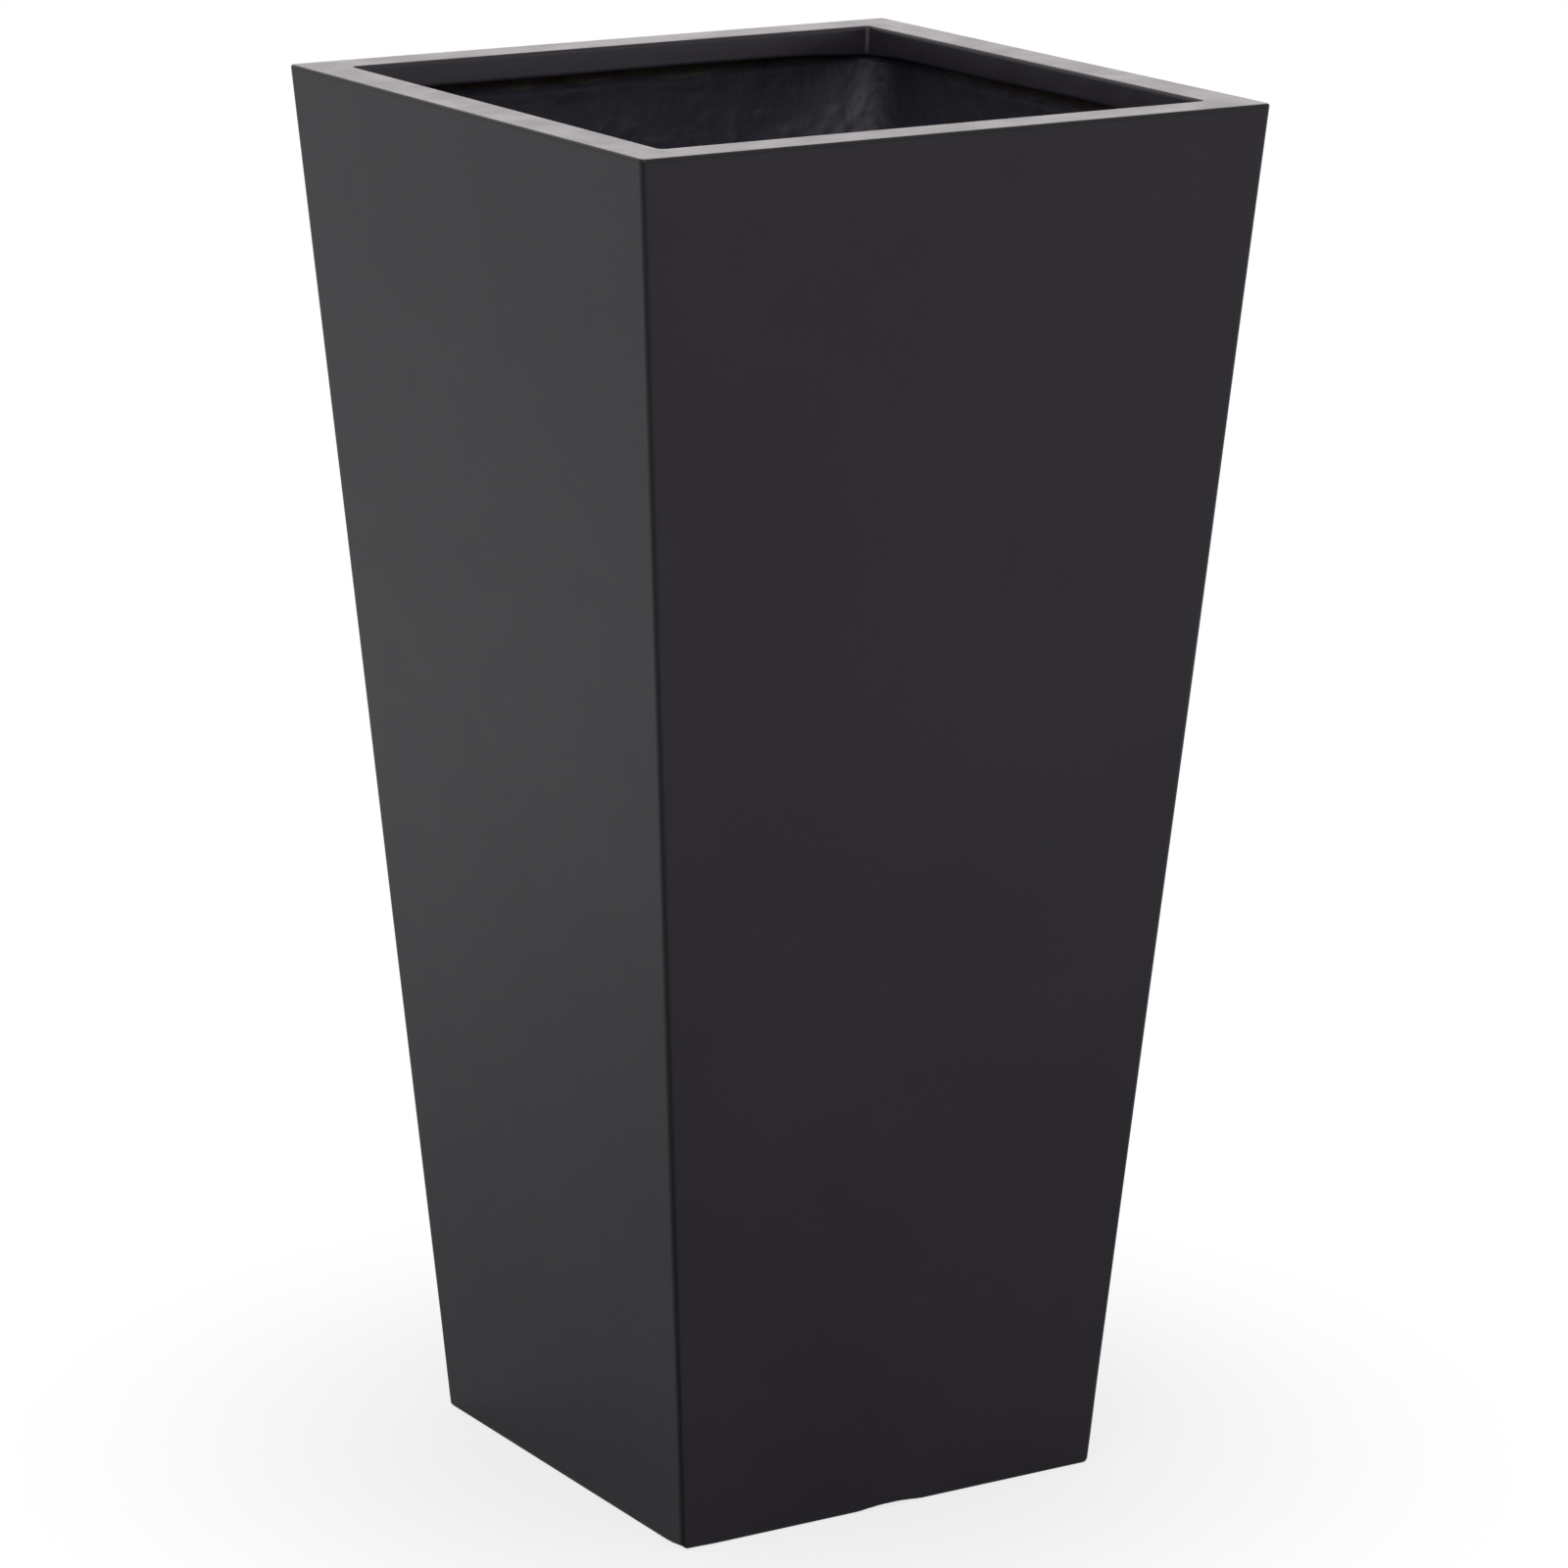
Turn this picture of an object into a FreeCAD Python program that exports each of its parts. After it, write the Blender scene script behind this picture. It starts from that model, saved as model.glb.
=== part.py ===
"""Tall square fiberglass planter: a tapered moulded shell with a flat turned-in rim, laid up by hand inside.

Row frame: +Z up, the origin at the middle of the underside, millimetres. The front is the -Y side. The shell is
one moulding, from its flat underside to the short lip that hangs inside its mouth. The channel behind that lip
is packed with filler, the four walls and the floor are backed with glass mat, and a swept strip of mat closes
each inside corner. A rubber plug stops the drain hole and lifts out through the mouth.
"""

import FreeCAD, Part
import math
import os

import Sketcher

SHEET = "sizes"

# Driving dimensions: alias, millimetres, meaning.
SIZES = (
    ("top_width", 400, "outside width of the square mouth end"),
    ("base_width", 275, "outside width of the square underside"),
    ("height", 800, "overall height"),
    ("wall", 3, "shell wall, measured level"),
    ("floor_thickness", 6, "shell floor"),
    ("rim_width", 27, "flat rim, outside edge to mouth"),
    ("rim_thickness", 3, "rim plate"),
    ("lip_depth", 15, "rim top to the lip's lower edge"),
    ("lip_wall", 3, "hanging lip"),
    ("corner_radius", 4, "upright outside corners"),
    ("bore_corner_radius", 2, "inside corners of the bare shell"),
    ("mouth_corner_radius", 3, "corners of the mouth"),
    ("base_edge_radius", 3.2, "outside edge of the underside"),
    ("rim_edge_radius", 1.4, "outside edge of the rim"),
    ("mouth_edge_radius", 1.2, "edge of the mouth"),
    ("mat_thickness", 2.4, "glass mat on the walls"),
    ("floor_mat_thickness", 3, "glass mat on the floor"),
    ("corner_leg", 26, "corner strip, from the shell's corner along each wall"),
    ("channel_width", 46, "drain channel, at the underside"),
    ("channel_depth", 2.4, "drain channel, at its middle"),
    ("drain_radius", 11, "drain hole"),
    ("plug_clearance", 0.3, "radial, plug shank in the drain hole"),
    ("plug_flange_radius", 17, "plug flange, on the floor mat"),
    ("plug_flange_thickness", 2.5, "plug flange at its edge"),
    ("plug_stem_radius", 4, "plug pull, stem"),
    ("plug_knob_radius", 7, "plug pull, knob"),
    ("plug_pull_height", 11, "plug pull, flange to knob top"),
    ("plug_knob_thickness", 4.5, "plug pull, knob"),
    ("plug_nose", 2.2, "plug shank below the shell floor, in the channel"),
)

# Levels and widths shared by the pieces, as expressions in the driving dimensions.
LEVEL_UNDERSIDE = "0"
LEVEL_FLOOR = "sizes.floor_thickness"
LEVEL_FLOOR_MAT = "sizes.floor_thickness + sizes.floor_mat_thickness"
LEVEL_LIP = "sizes.height - sizes.lip_depth"
LEVEL_RIM_PLATE = "sizes.height - sizes.rim_thickness"
LEVEL_TOP = "sizes.height"

WALL_SIDES = ("front", "right", "back", "left")
CORNER_SIDES = ("front_left", "front_right", "back_right", "back_left")
QUARTER_TURN = 90.0
ON_LEVEL_TOLERANCE = 1e-4


def outside_width(level):
    """Outside width of the tapered shell at a level, as an expression."""
    return f"(sizes.base_width + (sizes.top_width - sizes.base_width) * ({level}) / sizes.height)"


def bore_width(level):
    """Width between the bare shell's inside faces at a level, as an expression."""
    return f"({outside_width(level)} - 2 * sizes.wall)"


def mouth_width(level):
    """Width of the mouth, between opposite lips, as an expression."""
    return f"({outside_width(level)} - 2 * sizes.rim_width)"


def lip_back_width(level):
    """Width over the lips' hidden faces, as an expression."""
    return f"({mouth_width(level)} + 2 * sizes.lip_wall)"


def make_sheet(doc):
    """The spreadsheet that holds the driving dimensions."""
    sheet = doc.addObject("Spreadsheet::Sheet", SHEET)
    for row, (alias, value, meaning) in enumerate(SIZES, start=1):
        sheet.set(f"A{row}", alias)
        sheet.set(f"B{row}", str(value))
        sheet.setAlias(f"B{row}", alias)
        sheet.set(f"C{row}", meaning)
    doc.recompute()
    return sheet


def value_of(expression):
    """An expression's present value, for a sketch's first placing."""
    return float(FreeCAD.ActiveDocument.getObject(SHEET).evalExpression(expression))


def new_body(name):
    body = FreeCAD.ActiveDocument.addObject("PartDesign::Body", name)
    body.Label = name
    return body


def new_sketch(body, name, role="XY_Plane", level=None):
    """An empty sketch on one of the body's own origin planes, raised to a level."""
    plane = next(o for o in body.Origin.OriginFeatures if o.Role == role)
    sketch = body.newObject("Sketcher::SketchObject", name)
    sketch.AttachmentSupport = [(plane, "")]
    sketch.MapMode = "FlatFace"
    if level is not None:
        sketch.setExpression("AttachmentOffset.Base.z", level)
    return sketch


def constrain(sketch, kind, *args, expression=None):
    """Adds a constraint; where an expression is given, it drives the constraint's size."""
    if expression is None:
        return sketch.addConstraint(Sketcher.Constraint(kind, *args))
    index = sketch.addConstraint(Sketcher.Constraint(kind, *args, value_of(expression)))
    sketch.setExpression(f"Constraints[{index}]", expression)
    return index


def add_rounded_square(sketch, width, radius):
    """A square with rounded corners about the sketch's origin; width and radius are expressions."""
    half = value_of(width) / 2
    round_off = value_of(radius)
    flat = half - round_off
    ends = (
        ((-flat, -half), (flat, -half)),
        ((half, -flat), (half, flat)),
        ((flat, half), (-flat, half)),
        ((-half, flat), (-half, -flat)),
    )
    lines = [
        sketch.addGeometry(Part.LineSegment(FreeCAD.Vector(*a, 0), FreeCAD.Vector(*b, 0)))
        for a, b in ends
    ]
    centres = ((flat, -flat), (flat, flat), (-flat, flat), (-flat, -flat))
    arcs = []
    for turn, centre in enumerate(centres):
        circle = Part.Circle(FreeCAD.Vector(*centre, 0), FreeCAD.Vector(0, 0, 1), round_off)
        start = math.radians(QUARTER_TURN * (turn - 1))
        arcs.append(sketch.addGeometry(Part.ArcOfCircle(circle, start, start + math.pi / 2)))
    for turn in range(4):
        constrain(sketch, "Tangent", lines[turn], 2, arcs[turn], 1)
        constrain(sketch, "Tangent", arcs[turn], 2, lines[(turn + 1) % 4], 1)
        if turn:
            constrain(sketch, "Equal", arcs[0], arcs[turn])
    constrain(sketch, "Horizontal", lines[0])
    constrain(sketch, "Vertical", lines[1])
    constrain(sketch, "Symmetric", lines[0], 1, lines[2], 1, -1, 1)
    constrain(sketch, "Symmetric", lines[1], 1, lines[3], 1, -1, 1)
    constrain(sketch, "Radius", arcs[0], expression=radius)
    constrain(sketch, "DistanceX", lines[3], 1, lines[1], 1, expression=width)
    constrain(sketch, "DistanceY", lines[0], 1, lines[2], 1, expression=width)


def add_polygon(sketch, points):
    """A closed polygon whose corners lie at (x, y) pairs of expressions."""
    places = [FreeCAD.Vector(value_of(x), value_of(y), 0) for x, y in points]
    count = len(points)
    lines = [
        sketch.addGeometry(Part.LineSegment(places[i], places[(i + 1) % count]))
        for i in range(count)
    ]
    for i in range(count):
        constrain(sketch, "Coincident", lines[i], 2, lines[(i + 1) % count], 1)
    for line, (x, y) in zip(lines, points):
        place_point(sketch, line, 1, x, y)
    return lines


def place_point(sketch, shape, end, x, y):
    """Holds one end of a line or arc at a place given by two expressions."""
    for kind, size in (("DistanceX", x), ("DistanceY", y)):
        constrain(sketch, kind, -1, 1, shape, end, expression=size)


def finish_feature(body, feature):
    """Recomputes, makes the feature the body's tip and stops on a failure."""
    body.Tip = feature
    FreeCAD.ActiveDocument.recompute()
    check_state(feature)
    return feature


def loft(body, kind, name, lower, upper):
    """A straight loft between two sketches, added to or cut from the body."""
    feature = body.newObject(f"PartDesign::{kind}", name)
    feature.Profile = lower
    feature.Sections = [(upper, [""])]
    feature.Ruled = True
    lower.Visibility = upper.Visibility = False
    return finish_feature(body, feature)


def square_loft(body, kind, name, levels, widths, radius):
    """A loft between rounded squares at two levels; widths maps a level to one or two nested widths."""
    sketches = []
    for place, level in zip(("lower", "upper"), levels):
        sketch = new_sketch(body, f"{name}_{place}", level=level)
        for width, corner in zip(widths(level), radius):
            add_rounded_square(sketch, width, corner)
        sketches.append(sketch)
    return loft(body, kind, name, *sketches)


def edges_on_level(shape, level, reach=None):
    """Names of the edges that lie at a level, and within reach of the upright axis where that is given."""
    names = []
    for number, edge in enumerate(shape.Edges, start=1):
        box = edge.BoundBox
        outermost = max(abs(box.XMin), abs(box.XMax), abs(box.YMin), abs(box.YMax))
        if abs(box.ZMin - level) < ON_LEVEL_TOLERANCE and abs(box.ZMax - level) < ON_LEVEL_TOLERANCE:
            if reach is None or outermost < reach:
                names.append(f"Edge{number}")
    return names


def fillet(body, name, base, edges, radius):
    """Rounds the named edges by an expression's size."""
    feature = body.newObject("PartDesign::Fillet", name)
    feature.Base = (base, edges)
    feature.setExpression("Radius", radius)
    return finish_feature(body, feature)


def drain_hole(body, name, length):
    """Cuts the drain hole upwards from the underside, for a length given by an expression."""
    sketch = new_sketch(body, f"{name}_circle", level=LEVEL_UNDERSIDE)
    circle = Part.Circle(FreeCAD.Vector(), FreeCAD.Vector(0, 0, 1), value_of("sizes.drain_radius"))
    index = sketch.addGeometry(circle)
    constrain(sketch, "Coincident", index, 3, -1, 1)
    constrain(sketch, "Radius", index, expression="sizes.drain_radius")
    pocket = body.newObject("PartDesign::Pocket", name)
    pocket.Profile = sketch
    pocket.Type = "Length"
    pocket.Reversed = True
    pocket.setExpression("Length", length)
    return finish_feature(body, pocket)


def drain_channel(body):
    """Cuts the shallow arched channel that runs under the shell from front to back."""
    half = "sizes.channel_width / 2"
    depth = "sizes.channel_depth"
    radius = f"(({half}) ^ 2 + {depth} ^ 2) / (2 * {depth})"
    sketch = new_sketch(body, "channel_section", role="XZ_Plane")
    bed = sketch.addGeometry(
        Part.LineSegment(
            FreeCAD.Vector(-value_of(half), 0, 0), FreeCAD.Vector(value_of(half), 0, 0)
        )
    )
    arch = sketch.addGeometry(
        Part.Arc(
            FreeCAD.Vector(value_of(half), 0, 0),
            FreeCAD.Vector(0, value_of(depth), 0),
            FreeCAD.Vector(-value_of(half), 0, 0),
        )
    )
    constrain(sketch, "Coincident", bed, 2, arch, 1)
    constrain(sketch, "Coincident", arch, 2, bed, 1)
    constrain(sketch, "Symmetric", bed, 1, bed, 2, -1, 1)
    constrain(sketch, "Horizontal", bed)
    constrain(sketch, "DistanceX", bed, 1, bed, 2, expression="sizes.channel_width")
    constrain(sketch, "Radius", arch, expression=radius)
    pocket = body.newObject("PartDesign::Pocket", "drain_channel")
    pocket.Profile = sketch
    pocket.Type = "Length"
    pocket.Midplane = True
    pocket.setExpression("Length", "2 * sizes.base_width")
    return finish_feature(body, pocket)


def tapered_block(body):
    """The shell's outside as a solid block: upright corners, underside edge and rim edge rounded."""
    sketch = new_sketch(body, "underside_outline", level=LEVEL_UNDERSIDE)
    half = f"({outside_width(LEVEL_UNDERSIDE)} / 2)"
    corners = ((f"-{half}", f"-{half}"), (half, f"-{half}"), (half, half), (f"-{half}", half))
    add_polygon(sketch, corners)
    pad = body.newObject("PartDesign::Pad", "taper")
    pad.Profile = sketch
    pad.setExpression("Length", "sizes.height")
    pad.setExpression("TaperAngle", "atan((sizes.top_width - sizes.base_width) / 2 / sizes.height)")
    finish_feature(body, pad)
    upright = [
        f"Edge{number}"
        for number, edge in enumerate(pad.Shape.Edges, start=1)
        if edge.BoundBox.ZLength > value_of("sizes.height") / 2
    ]
    block = fillet(body, "corners", pad, upright, "sizes.corner_radius")
    edges = edges_on_level(block.Shape, value_of(LEVEL_UNDERSIDE))
    block = fillet(
        body, "base_edge", block, edges, "min(sizes.base_edge_radius; 0.8 * sizes.corner_radius)"
    )
    edges = edges_on_level(block.Shape, value_of(LEVEL_TOP))
    return fillet(body, "rim_edge", block, edges, "min(sizes.rim_edge_radius; 0.8 * sizes.corner_radius)")


def make_outer_shell():
    """The moulding: four tapered walls, floor, flat rim and hanging lip, one wall thickness throughout."""
    body = new_body("outer_shell")
    tapered_block(body)
    square_loft(
        body, "SubtractiveLoft", "bore", (LEVEL_FLOOR, LEVEL_LIP),
        lambda level: (bore_width(level),), ("sizes.bore_corner_radius",),
    )
    mouth = square_loft(
        body, "SubtractiveLoft", "mouth", (LEVEL_LIP, LEVEL_TOP),
        lambda level: (mouth_width(level),), ("sizes.mouth_corner_radius",),
    )
    reach = value_of(mouth_width(LEVEL_TOP)) / 2 + value_of("sizes.mouth_edge_radius")
    edges = edges_on_level(mouth.Shape, value_of(LEVEL_TOP), reach)
    fillet(body, "mouth_edge", mouth, edges, "sizes.mouth_edge_radius")
    square_loft(
        body, "SubtractiveLoft", "rim_channel", (LEVEL_LIP, LEVEL_RIM_PLATE),
        lambda level: (bore_width(level), lip_back_width(level)),
        ("sizes.bore_corner_radius", "sizes.mouth_corner_radius"),
    )
    drain_hole(body, "drain", LEVEL_FLOOR)
    drain_channel(body)
    return body


def make_rim_filler():
    """The ring of resin filler that packs the channel between the wall and the lip."""
    body = new_body("rim_filler")
    square_loft(
        body, "AdditiveLoft", "filler_ring", (LEVEL_LIP, LEVEL_RIM_PLATE),
        lambda level: (bore_width(level), lip_back_width(level)),
        ("sizes.bore_corner_radius", "sizes.mouth_corner_radius"),
    )
    return body


def make_floor_mat():
    """The glass mat laid over the shell floor, open at the drain."""
    body = new_body("floor_mat")
    square_loft(
        body, "AdditiveLoft", "floor_sheet", (LEVEL_FLOOR, LEVEL_FLOOR_MAT),
        lambda level: (bore_width(level),), ("sizes.bore_corner_radius",),
    )
    drain_hole(body, "mat_drain", LEVEL_FLOOR_MAT)
    return body


def make_wall_mat(side, turn):
    """One wall's glass mat, from the floor mat to the filler, between two corner strips."""
    body = new_body(f"wall_mat_{side}")
    sketches = []
    for place, level in (("lower", LEVEL_FLOOR_MAT), ("upper", LEVEL_LIP)):
        sketch = new_sketch(body, f"mat_{side}_{place}", level=level)
        face = f"{bore_width(level)} / 2"
        end = f"({face} - sizes.corner_leg)"
        add_polygon(sketch, (
            (f"-{end}", f"-{face}"),
            (end, f"-{face}"),
            (end, f"-{face} + sizes.mat_thickness"),
            (f"-{end}", f"-{face} + sizes.mat_thickness"),
        ))
        sketches.append(sketch)
    loft(body, "AdditiveLoft", f"mat_{side}", *sketches)
    turn_about_axis(body, turn)
    return body


def add_corner_section(sketch, level):
    """A corner strip's section in the front left corner: square outside, swept inside."""
    face = f"(-{bore_width(level)} / 2)"
    inner = f"{face} + sizes.mat_thickness"
    tip = f"{face} + sizes.corner_leg"
    fit = f"{face} + sizes.bore_corner_radius"
    corners = ((tip, inner), (tip, face), (fit, face), (face, fit), (face, tip), (inner, tip))
    place = [FreeCAD.Vector(value_of(x), value_of(y), 0) for x, y in corners]
    lines = [
        sketch.addGeometry(Part.LineSegment(place[0], place[1])),
        sketch.addGeometry(Part.LineSegment(place[1], place[2])),
        sketch.addGeometry(Part.LineSegment(place[3], place[4])),
        sketch.addGeometry(Part.LineSegment(place[4], place[5])),
    ]
    snug = value_of("sizes.bore_corner_radius")
    sweep = value_of("sizes.corner_leg - sizes.mat_thickness")
    snug_circle = Part.Circle(place[2] + FreeCAD.Vector(0, snug, 0), FreeCAD.Vector(0, 0, 1), snug)
    outer = sketch.addGeometry(Part.ArcOfCircle(snug_circle, math.pi, 1.5 * math.pi))
    sweep_circle = Part.Circle(place[0] + FreeCAD.Vector(0, sweep, 0), FreeCAD.Vector(0, 0, 1), sweep)
    swept = sketch.addGeometry(Part.ArcOfCircle(sweep_circle, math.pi, 1.5 * math.pi))
    constrain(sketch, "Coincident", lines[0], 2, lines[1], 1)
    constrain(sketch, "Tangent", lines[1], 2, outer, 2)
    constrain(sketch, "Tangent", outer, 1, lines[2], 1)
    constrain(sketch, "Coincident", lines[2], 2, lines[3], 1)
    constrain(sketch, "Coincident", lines[3], 2, swept, 1)
    constrain(sketch, "Coincident", swept, 2, lines[0], 1)
    constrain(sketch, "Radius", outer, expression="sizes.bore_corner_radius")
    constrain(sketch, "Radius", swept, expression="sizes.corner_leg - sizes.mat_thickness")
    place_point(sketch, lines[0], 1, tip, inner)
    place_point(sketch, lines[0], 2, tip, face)
    place_point(sketch, lines[2], 2, face, tip)
    place_point(sketch, lines[3], 2, inner, tip)


def make_corner_strip(side, turn):
    """The strip of mat that closes one inside corner with a broad sweep."""
    body = new_body(f"corner_strip_{side}")
    sketches = []
    for place, level in (("lower", LEVEL_FLOOR_MAT), ("upper", LEVEL_LIP)):
        sketch = new_sketch(body, f"strip_{side}_{place}", level=level)
        add_corner_section(sketch, level)
        sketches.append(sketch)
    loft(body, "AdditiveLoft", f"strip_{side}", *sketches)
    turn_about_axis(body, turn)
    return body


def turn_about_axis(body, turn):
    """Turns a body about the planter's upright axis by quarter turns."""
    spin = FreeCAD.Rotation(FreeCAD.Vector(0, 0, 1), QUARTER_TURN * turn)
    body.Placement = FreeCAD.Placement(FreeCAD.Vector(), spin)


def make_drain_plug():
    """The rubber plug, turned about the upright axis: shank, flange on the floor mat, and a knob to pull."""
    body = new_body("drain_plug")
    seat = f"({LEVEL_FLOOR_MAT})"
    shank = "(sizes.drain_radius - sizes.plug_clearance)"
    nose = f"({LEVEL_FLOOR} - sizes.floor_thickness + sizes.channel_depth - sizes.plug_nose)"
    dome = f"({seat} + 2 * sizes.plug_flange_thickness)"
    top = f"({dome} + sizes.plug_pull_height)"
    knob = f"({top} - sizes.plug_knob_thickness)"
    sketch = new_sketch(body, "plug_half_section", role="XZ_Plane")
    add_polygon(sketch, (
        ("0", nose),
        (f"0.8 * {shank}", nose),
        (shank, f"{nose} + 0.2 * {shank}"),
        (shank, seat),
        ("sizes.plug_flange_radius", seat),
        ("sizes.plug_flange_radius", f"{seat} + sizes.plug_flange_thickness"),
        ("sizes.plug_stem_radius", dome),
        ("sizes.plug_stem_radius", knob),
        ("sizes.plug_knob_radius", knob),
        ("sizes.plug_knob_radius", top),
        ("0", top),
    ))
    turned = body.newObject("PartDesign::Revolution", "plug_turned")
    turned.Profile = sketch
    turned.ReferenceAxis = (sketch, ["V_Axis"])
    finish_feature(body, turned)
    return body


def check_state(feature):
    """Stops the build where a feature has failed."""
    if {"Invalid", "Error"} & set(feature.State):
        raise RuntimeError(f"{feature.Name} failed: {feature.State} {feature.getStatusString()}")


def check_and_export(doc, bodies):
    """Checks every object and each sub-part's shape, then writes one STEP file for each sub-part."""
    doc.recompute()
    for item in doc.Objects:
        check_state(item)
    for body in bodies:
        if body.Shape.isNull() or not body.Shape.isValid() or len(body.Shape.Solids) != 1:
            raise RuntimeError(f"{body.Label} isn't one valid solid")
    os.makedirs("parts", exist_ok=True)
    for body in bodies:
        body.Shape.exportStep(f"parts/{body.Label}.step")
        print(f"{body.Label}: {body.Shape.Volume / 1000:.1f} cm3")


def main():
    doc = FreeCAD.newDocument("planter")
    make_sheet(doc)
    bodies = [make_outer_shell(), make_rim_filler(), make_floor_mat()]
    bodies += [make_wall_mat(side, turn) for turn, side in enumerate(WALL_SIDES)]
    bodies += [make_corner_strip(side, turn) for turn, side in enumerate(CORNER_SIDES)]
    bodies.append(make_drain_plug())
    check_and_export(doc, bodies)


main()
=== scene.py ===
"""Looks for the tall square fiberglass planter: satin black shell, hand-laid inside, rubber drain plug.

The frame is +Z up with the origin at the middle of the underside, in metres, and the front is the -Y side.
Every piece of the planter is a surface worked out on a grid. The shell is one closed profile carried round a
rounded square. The mats inside are sheets whose inner face is pushed in and out by smooth seeded noise.
"""

import itertools
import logging
import math
from collections.abc import Sequence
from dataclasses import dataclass, field
from enum import Enum

import bpy
import numpy as np
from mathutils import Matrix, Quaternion, Vector


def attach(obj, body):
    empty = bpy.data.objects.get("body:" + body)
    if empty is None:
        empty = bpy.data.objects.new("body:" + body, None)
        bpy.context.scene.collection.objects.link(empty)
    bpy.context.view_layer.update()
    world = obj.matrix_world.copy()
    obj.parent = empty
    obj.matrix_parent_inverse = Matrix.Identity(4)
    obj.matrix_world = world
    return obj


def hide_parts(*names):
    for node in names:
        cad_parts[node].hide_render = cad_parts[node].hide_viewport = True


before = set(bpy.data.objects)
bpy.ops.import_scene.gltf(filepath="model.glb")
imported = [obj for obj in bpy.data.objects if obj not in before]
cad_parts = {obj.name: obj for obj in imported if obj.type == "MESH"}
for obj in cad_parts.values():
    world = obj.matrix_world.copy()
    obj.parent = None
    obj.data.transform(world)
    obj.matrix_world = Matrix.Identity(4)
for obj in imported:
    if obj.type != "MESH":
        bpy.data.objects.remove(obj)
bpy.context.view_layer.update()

LOG = logging.getLogger("planter")

Grid = np.ndarray
Faces = np.ndarray
Place = tuple[float, float, float]
Range = tuple[float, float]
Colour = tuple[float, float, float, float]
Node = bpy.types.Node
Socket = bpy.types.NodeSocket
Material = bpy.types.Material
Piece = bpy.types.Object


class Body(Enum):
    """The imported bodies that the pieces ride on."""

    PLANTER = "planter"
    DRAIN_PLUG = "drain_plug"


class Slot(Enum):
    """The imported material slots."""

    PAINTED_SHELL = "painted_shell"
    BACKING_LAMINATE = "backing_laminate"
    RAW_FILLER = "raw_filler"
    RUBBER = "rubber"


class Side(Enum):
    """The four walls, each with its quarter turns from the front."""

    FRONT = 0
    RIGHT = 1
    BACK = 2
    LEFT = 3


class Corner(Enum):
    """The four upright corners, each with its quarter turns from the front left."""

    FRONT_LEFT = 0
    FRONT_RIGHT = 1
    BACK_RIGHT = 2
    BACK_LEFT = 3


# ---------------------------------------------------------------- number helpers


def ease(value: Grid, low: float, high: float) -> Grid:
    """A smooth step: 0 up to low, 1 from high on, and 3t^2 - 2t^3 between them."""
    t = np.clip((value - low) / (high - low), 0.0, 1.0)
    return t * t * (3.0 - 2.0 * t)


def bell(value: Grid, middle: float, reach: Grid | float) -> Grid:
    """A bell curve: exp(-d^2), where d is the way from the middle as a share of the reach."""
    return np.exp(-(((value - middle) / reach) ** 2))


def quarter_turned(points: Grid, turns: int) -> Grid:
    """Turns points or directions about +Z by quarter turns, anticlockwise from above.

    Args:
        points: Places or directions, with x, y and z along the last axis.
        turns: How many quarter turns.

    Returns:
        The turned array, of the same shape.
    """
    x, y, z = np.moveaxis(points, -1, 0)
    for _ in range(turns):
        x, y = -y, x
    return np.stack([x, y, z], axis=-1)


class LatticeNoise:
    """Smooth seeded noise: random values on a cubic lattice, blended by an eased weight on each axis."""

    SIZE = 32

    def __init__(self, seed: int) -> None:
        """Draws the lattice's values from the seed."""
        self.values = np.random.default_rng(seed).random((self.SIZE,) * 3)

    def __call__(self, points: Grid, cell: Place) -> Grid:
        """Reads the noise at places.

        Args:
            points: Places, with x, y and z along the last axis.
            cell: The lattice's spacing along x, y and z, in metres.

        Returns:
            Values from -1 to 1, without the last axis.
        """
        scaled = points / np.asarray(cell)
        base = np.floor(scaled).astype(int)
        part = scaled - base
        eased = part**3 * (part * (part * 6.0 - 15.0) + 10.0)
        total = np.zeros(points.shape[:-1])
        for corner in itertools.product((0, 1), repeat=3):
            index = (base + corner) % self.SIZE
            weight = np.prod(np.where(corner, eased, 1.0 - eased), axis=-1)
            total += weight * self.values[index[..., 0], index[..., 1], index[..., 2]]
        return 2.0 * total - 1.0


# ---------------------------------------------------------------- mesh helpers


def held_span(count: int, hold: float) -> Grid:
    """Even stations from 0 to 1, with one more next to each end so that shading turns only at the edge."""
    return np.concatenate([[0.0], np.linspace(hold, 1.0 - hold, count - 2), [1.0]])


def grid_faces(rows: int, columns: int, wrap_rows: bool = False, wrap_columns: bool = False) -> Faces:
    """Quads over a grid of vertices numbered row by row.

    A quad runs along its columns first and then its rows, so it faces column direction x row direction.

    Args:
        rows: Rows of vertices.
        columns: Vertices in a row.
        wrap_rows: Joins the last row to the first.
        wrap_columns: Joins the last column to the first.

    Returns:
        One line of four vertex numbers for each quad.
    """
    row = np.arange(rows if wrap_rows else rows - 1)[:, None]
    column = np.arange(columns if wrap_columns else columns - 1)[None, :]
    next_row, next_column = (row + 1) % rows, (column + 1) % columns
    corners = [
        row * columns + column,
        row * columns + next_column,
        next_row * columns + next_column,
        next_row * columns + column,
    ]
    return np.stack(np.broadcast_arrays(*corners), axis=-1).reshape(-1, 4)


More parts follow.
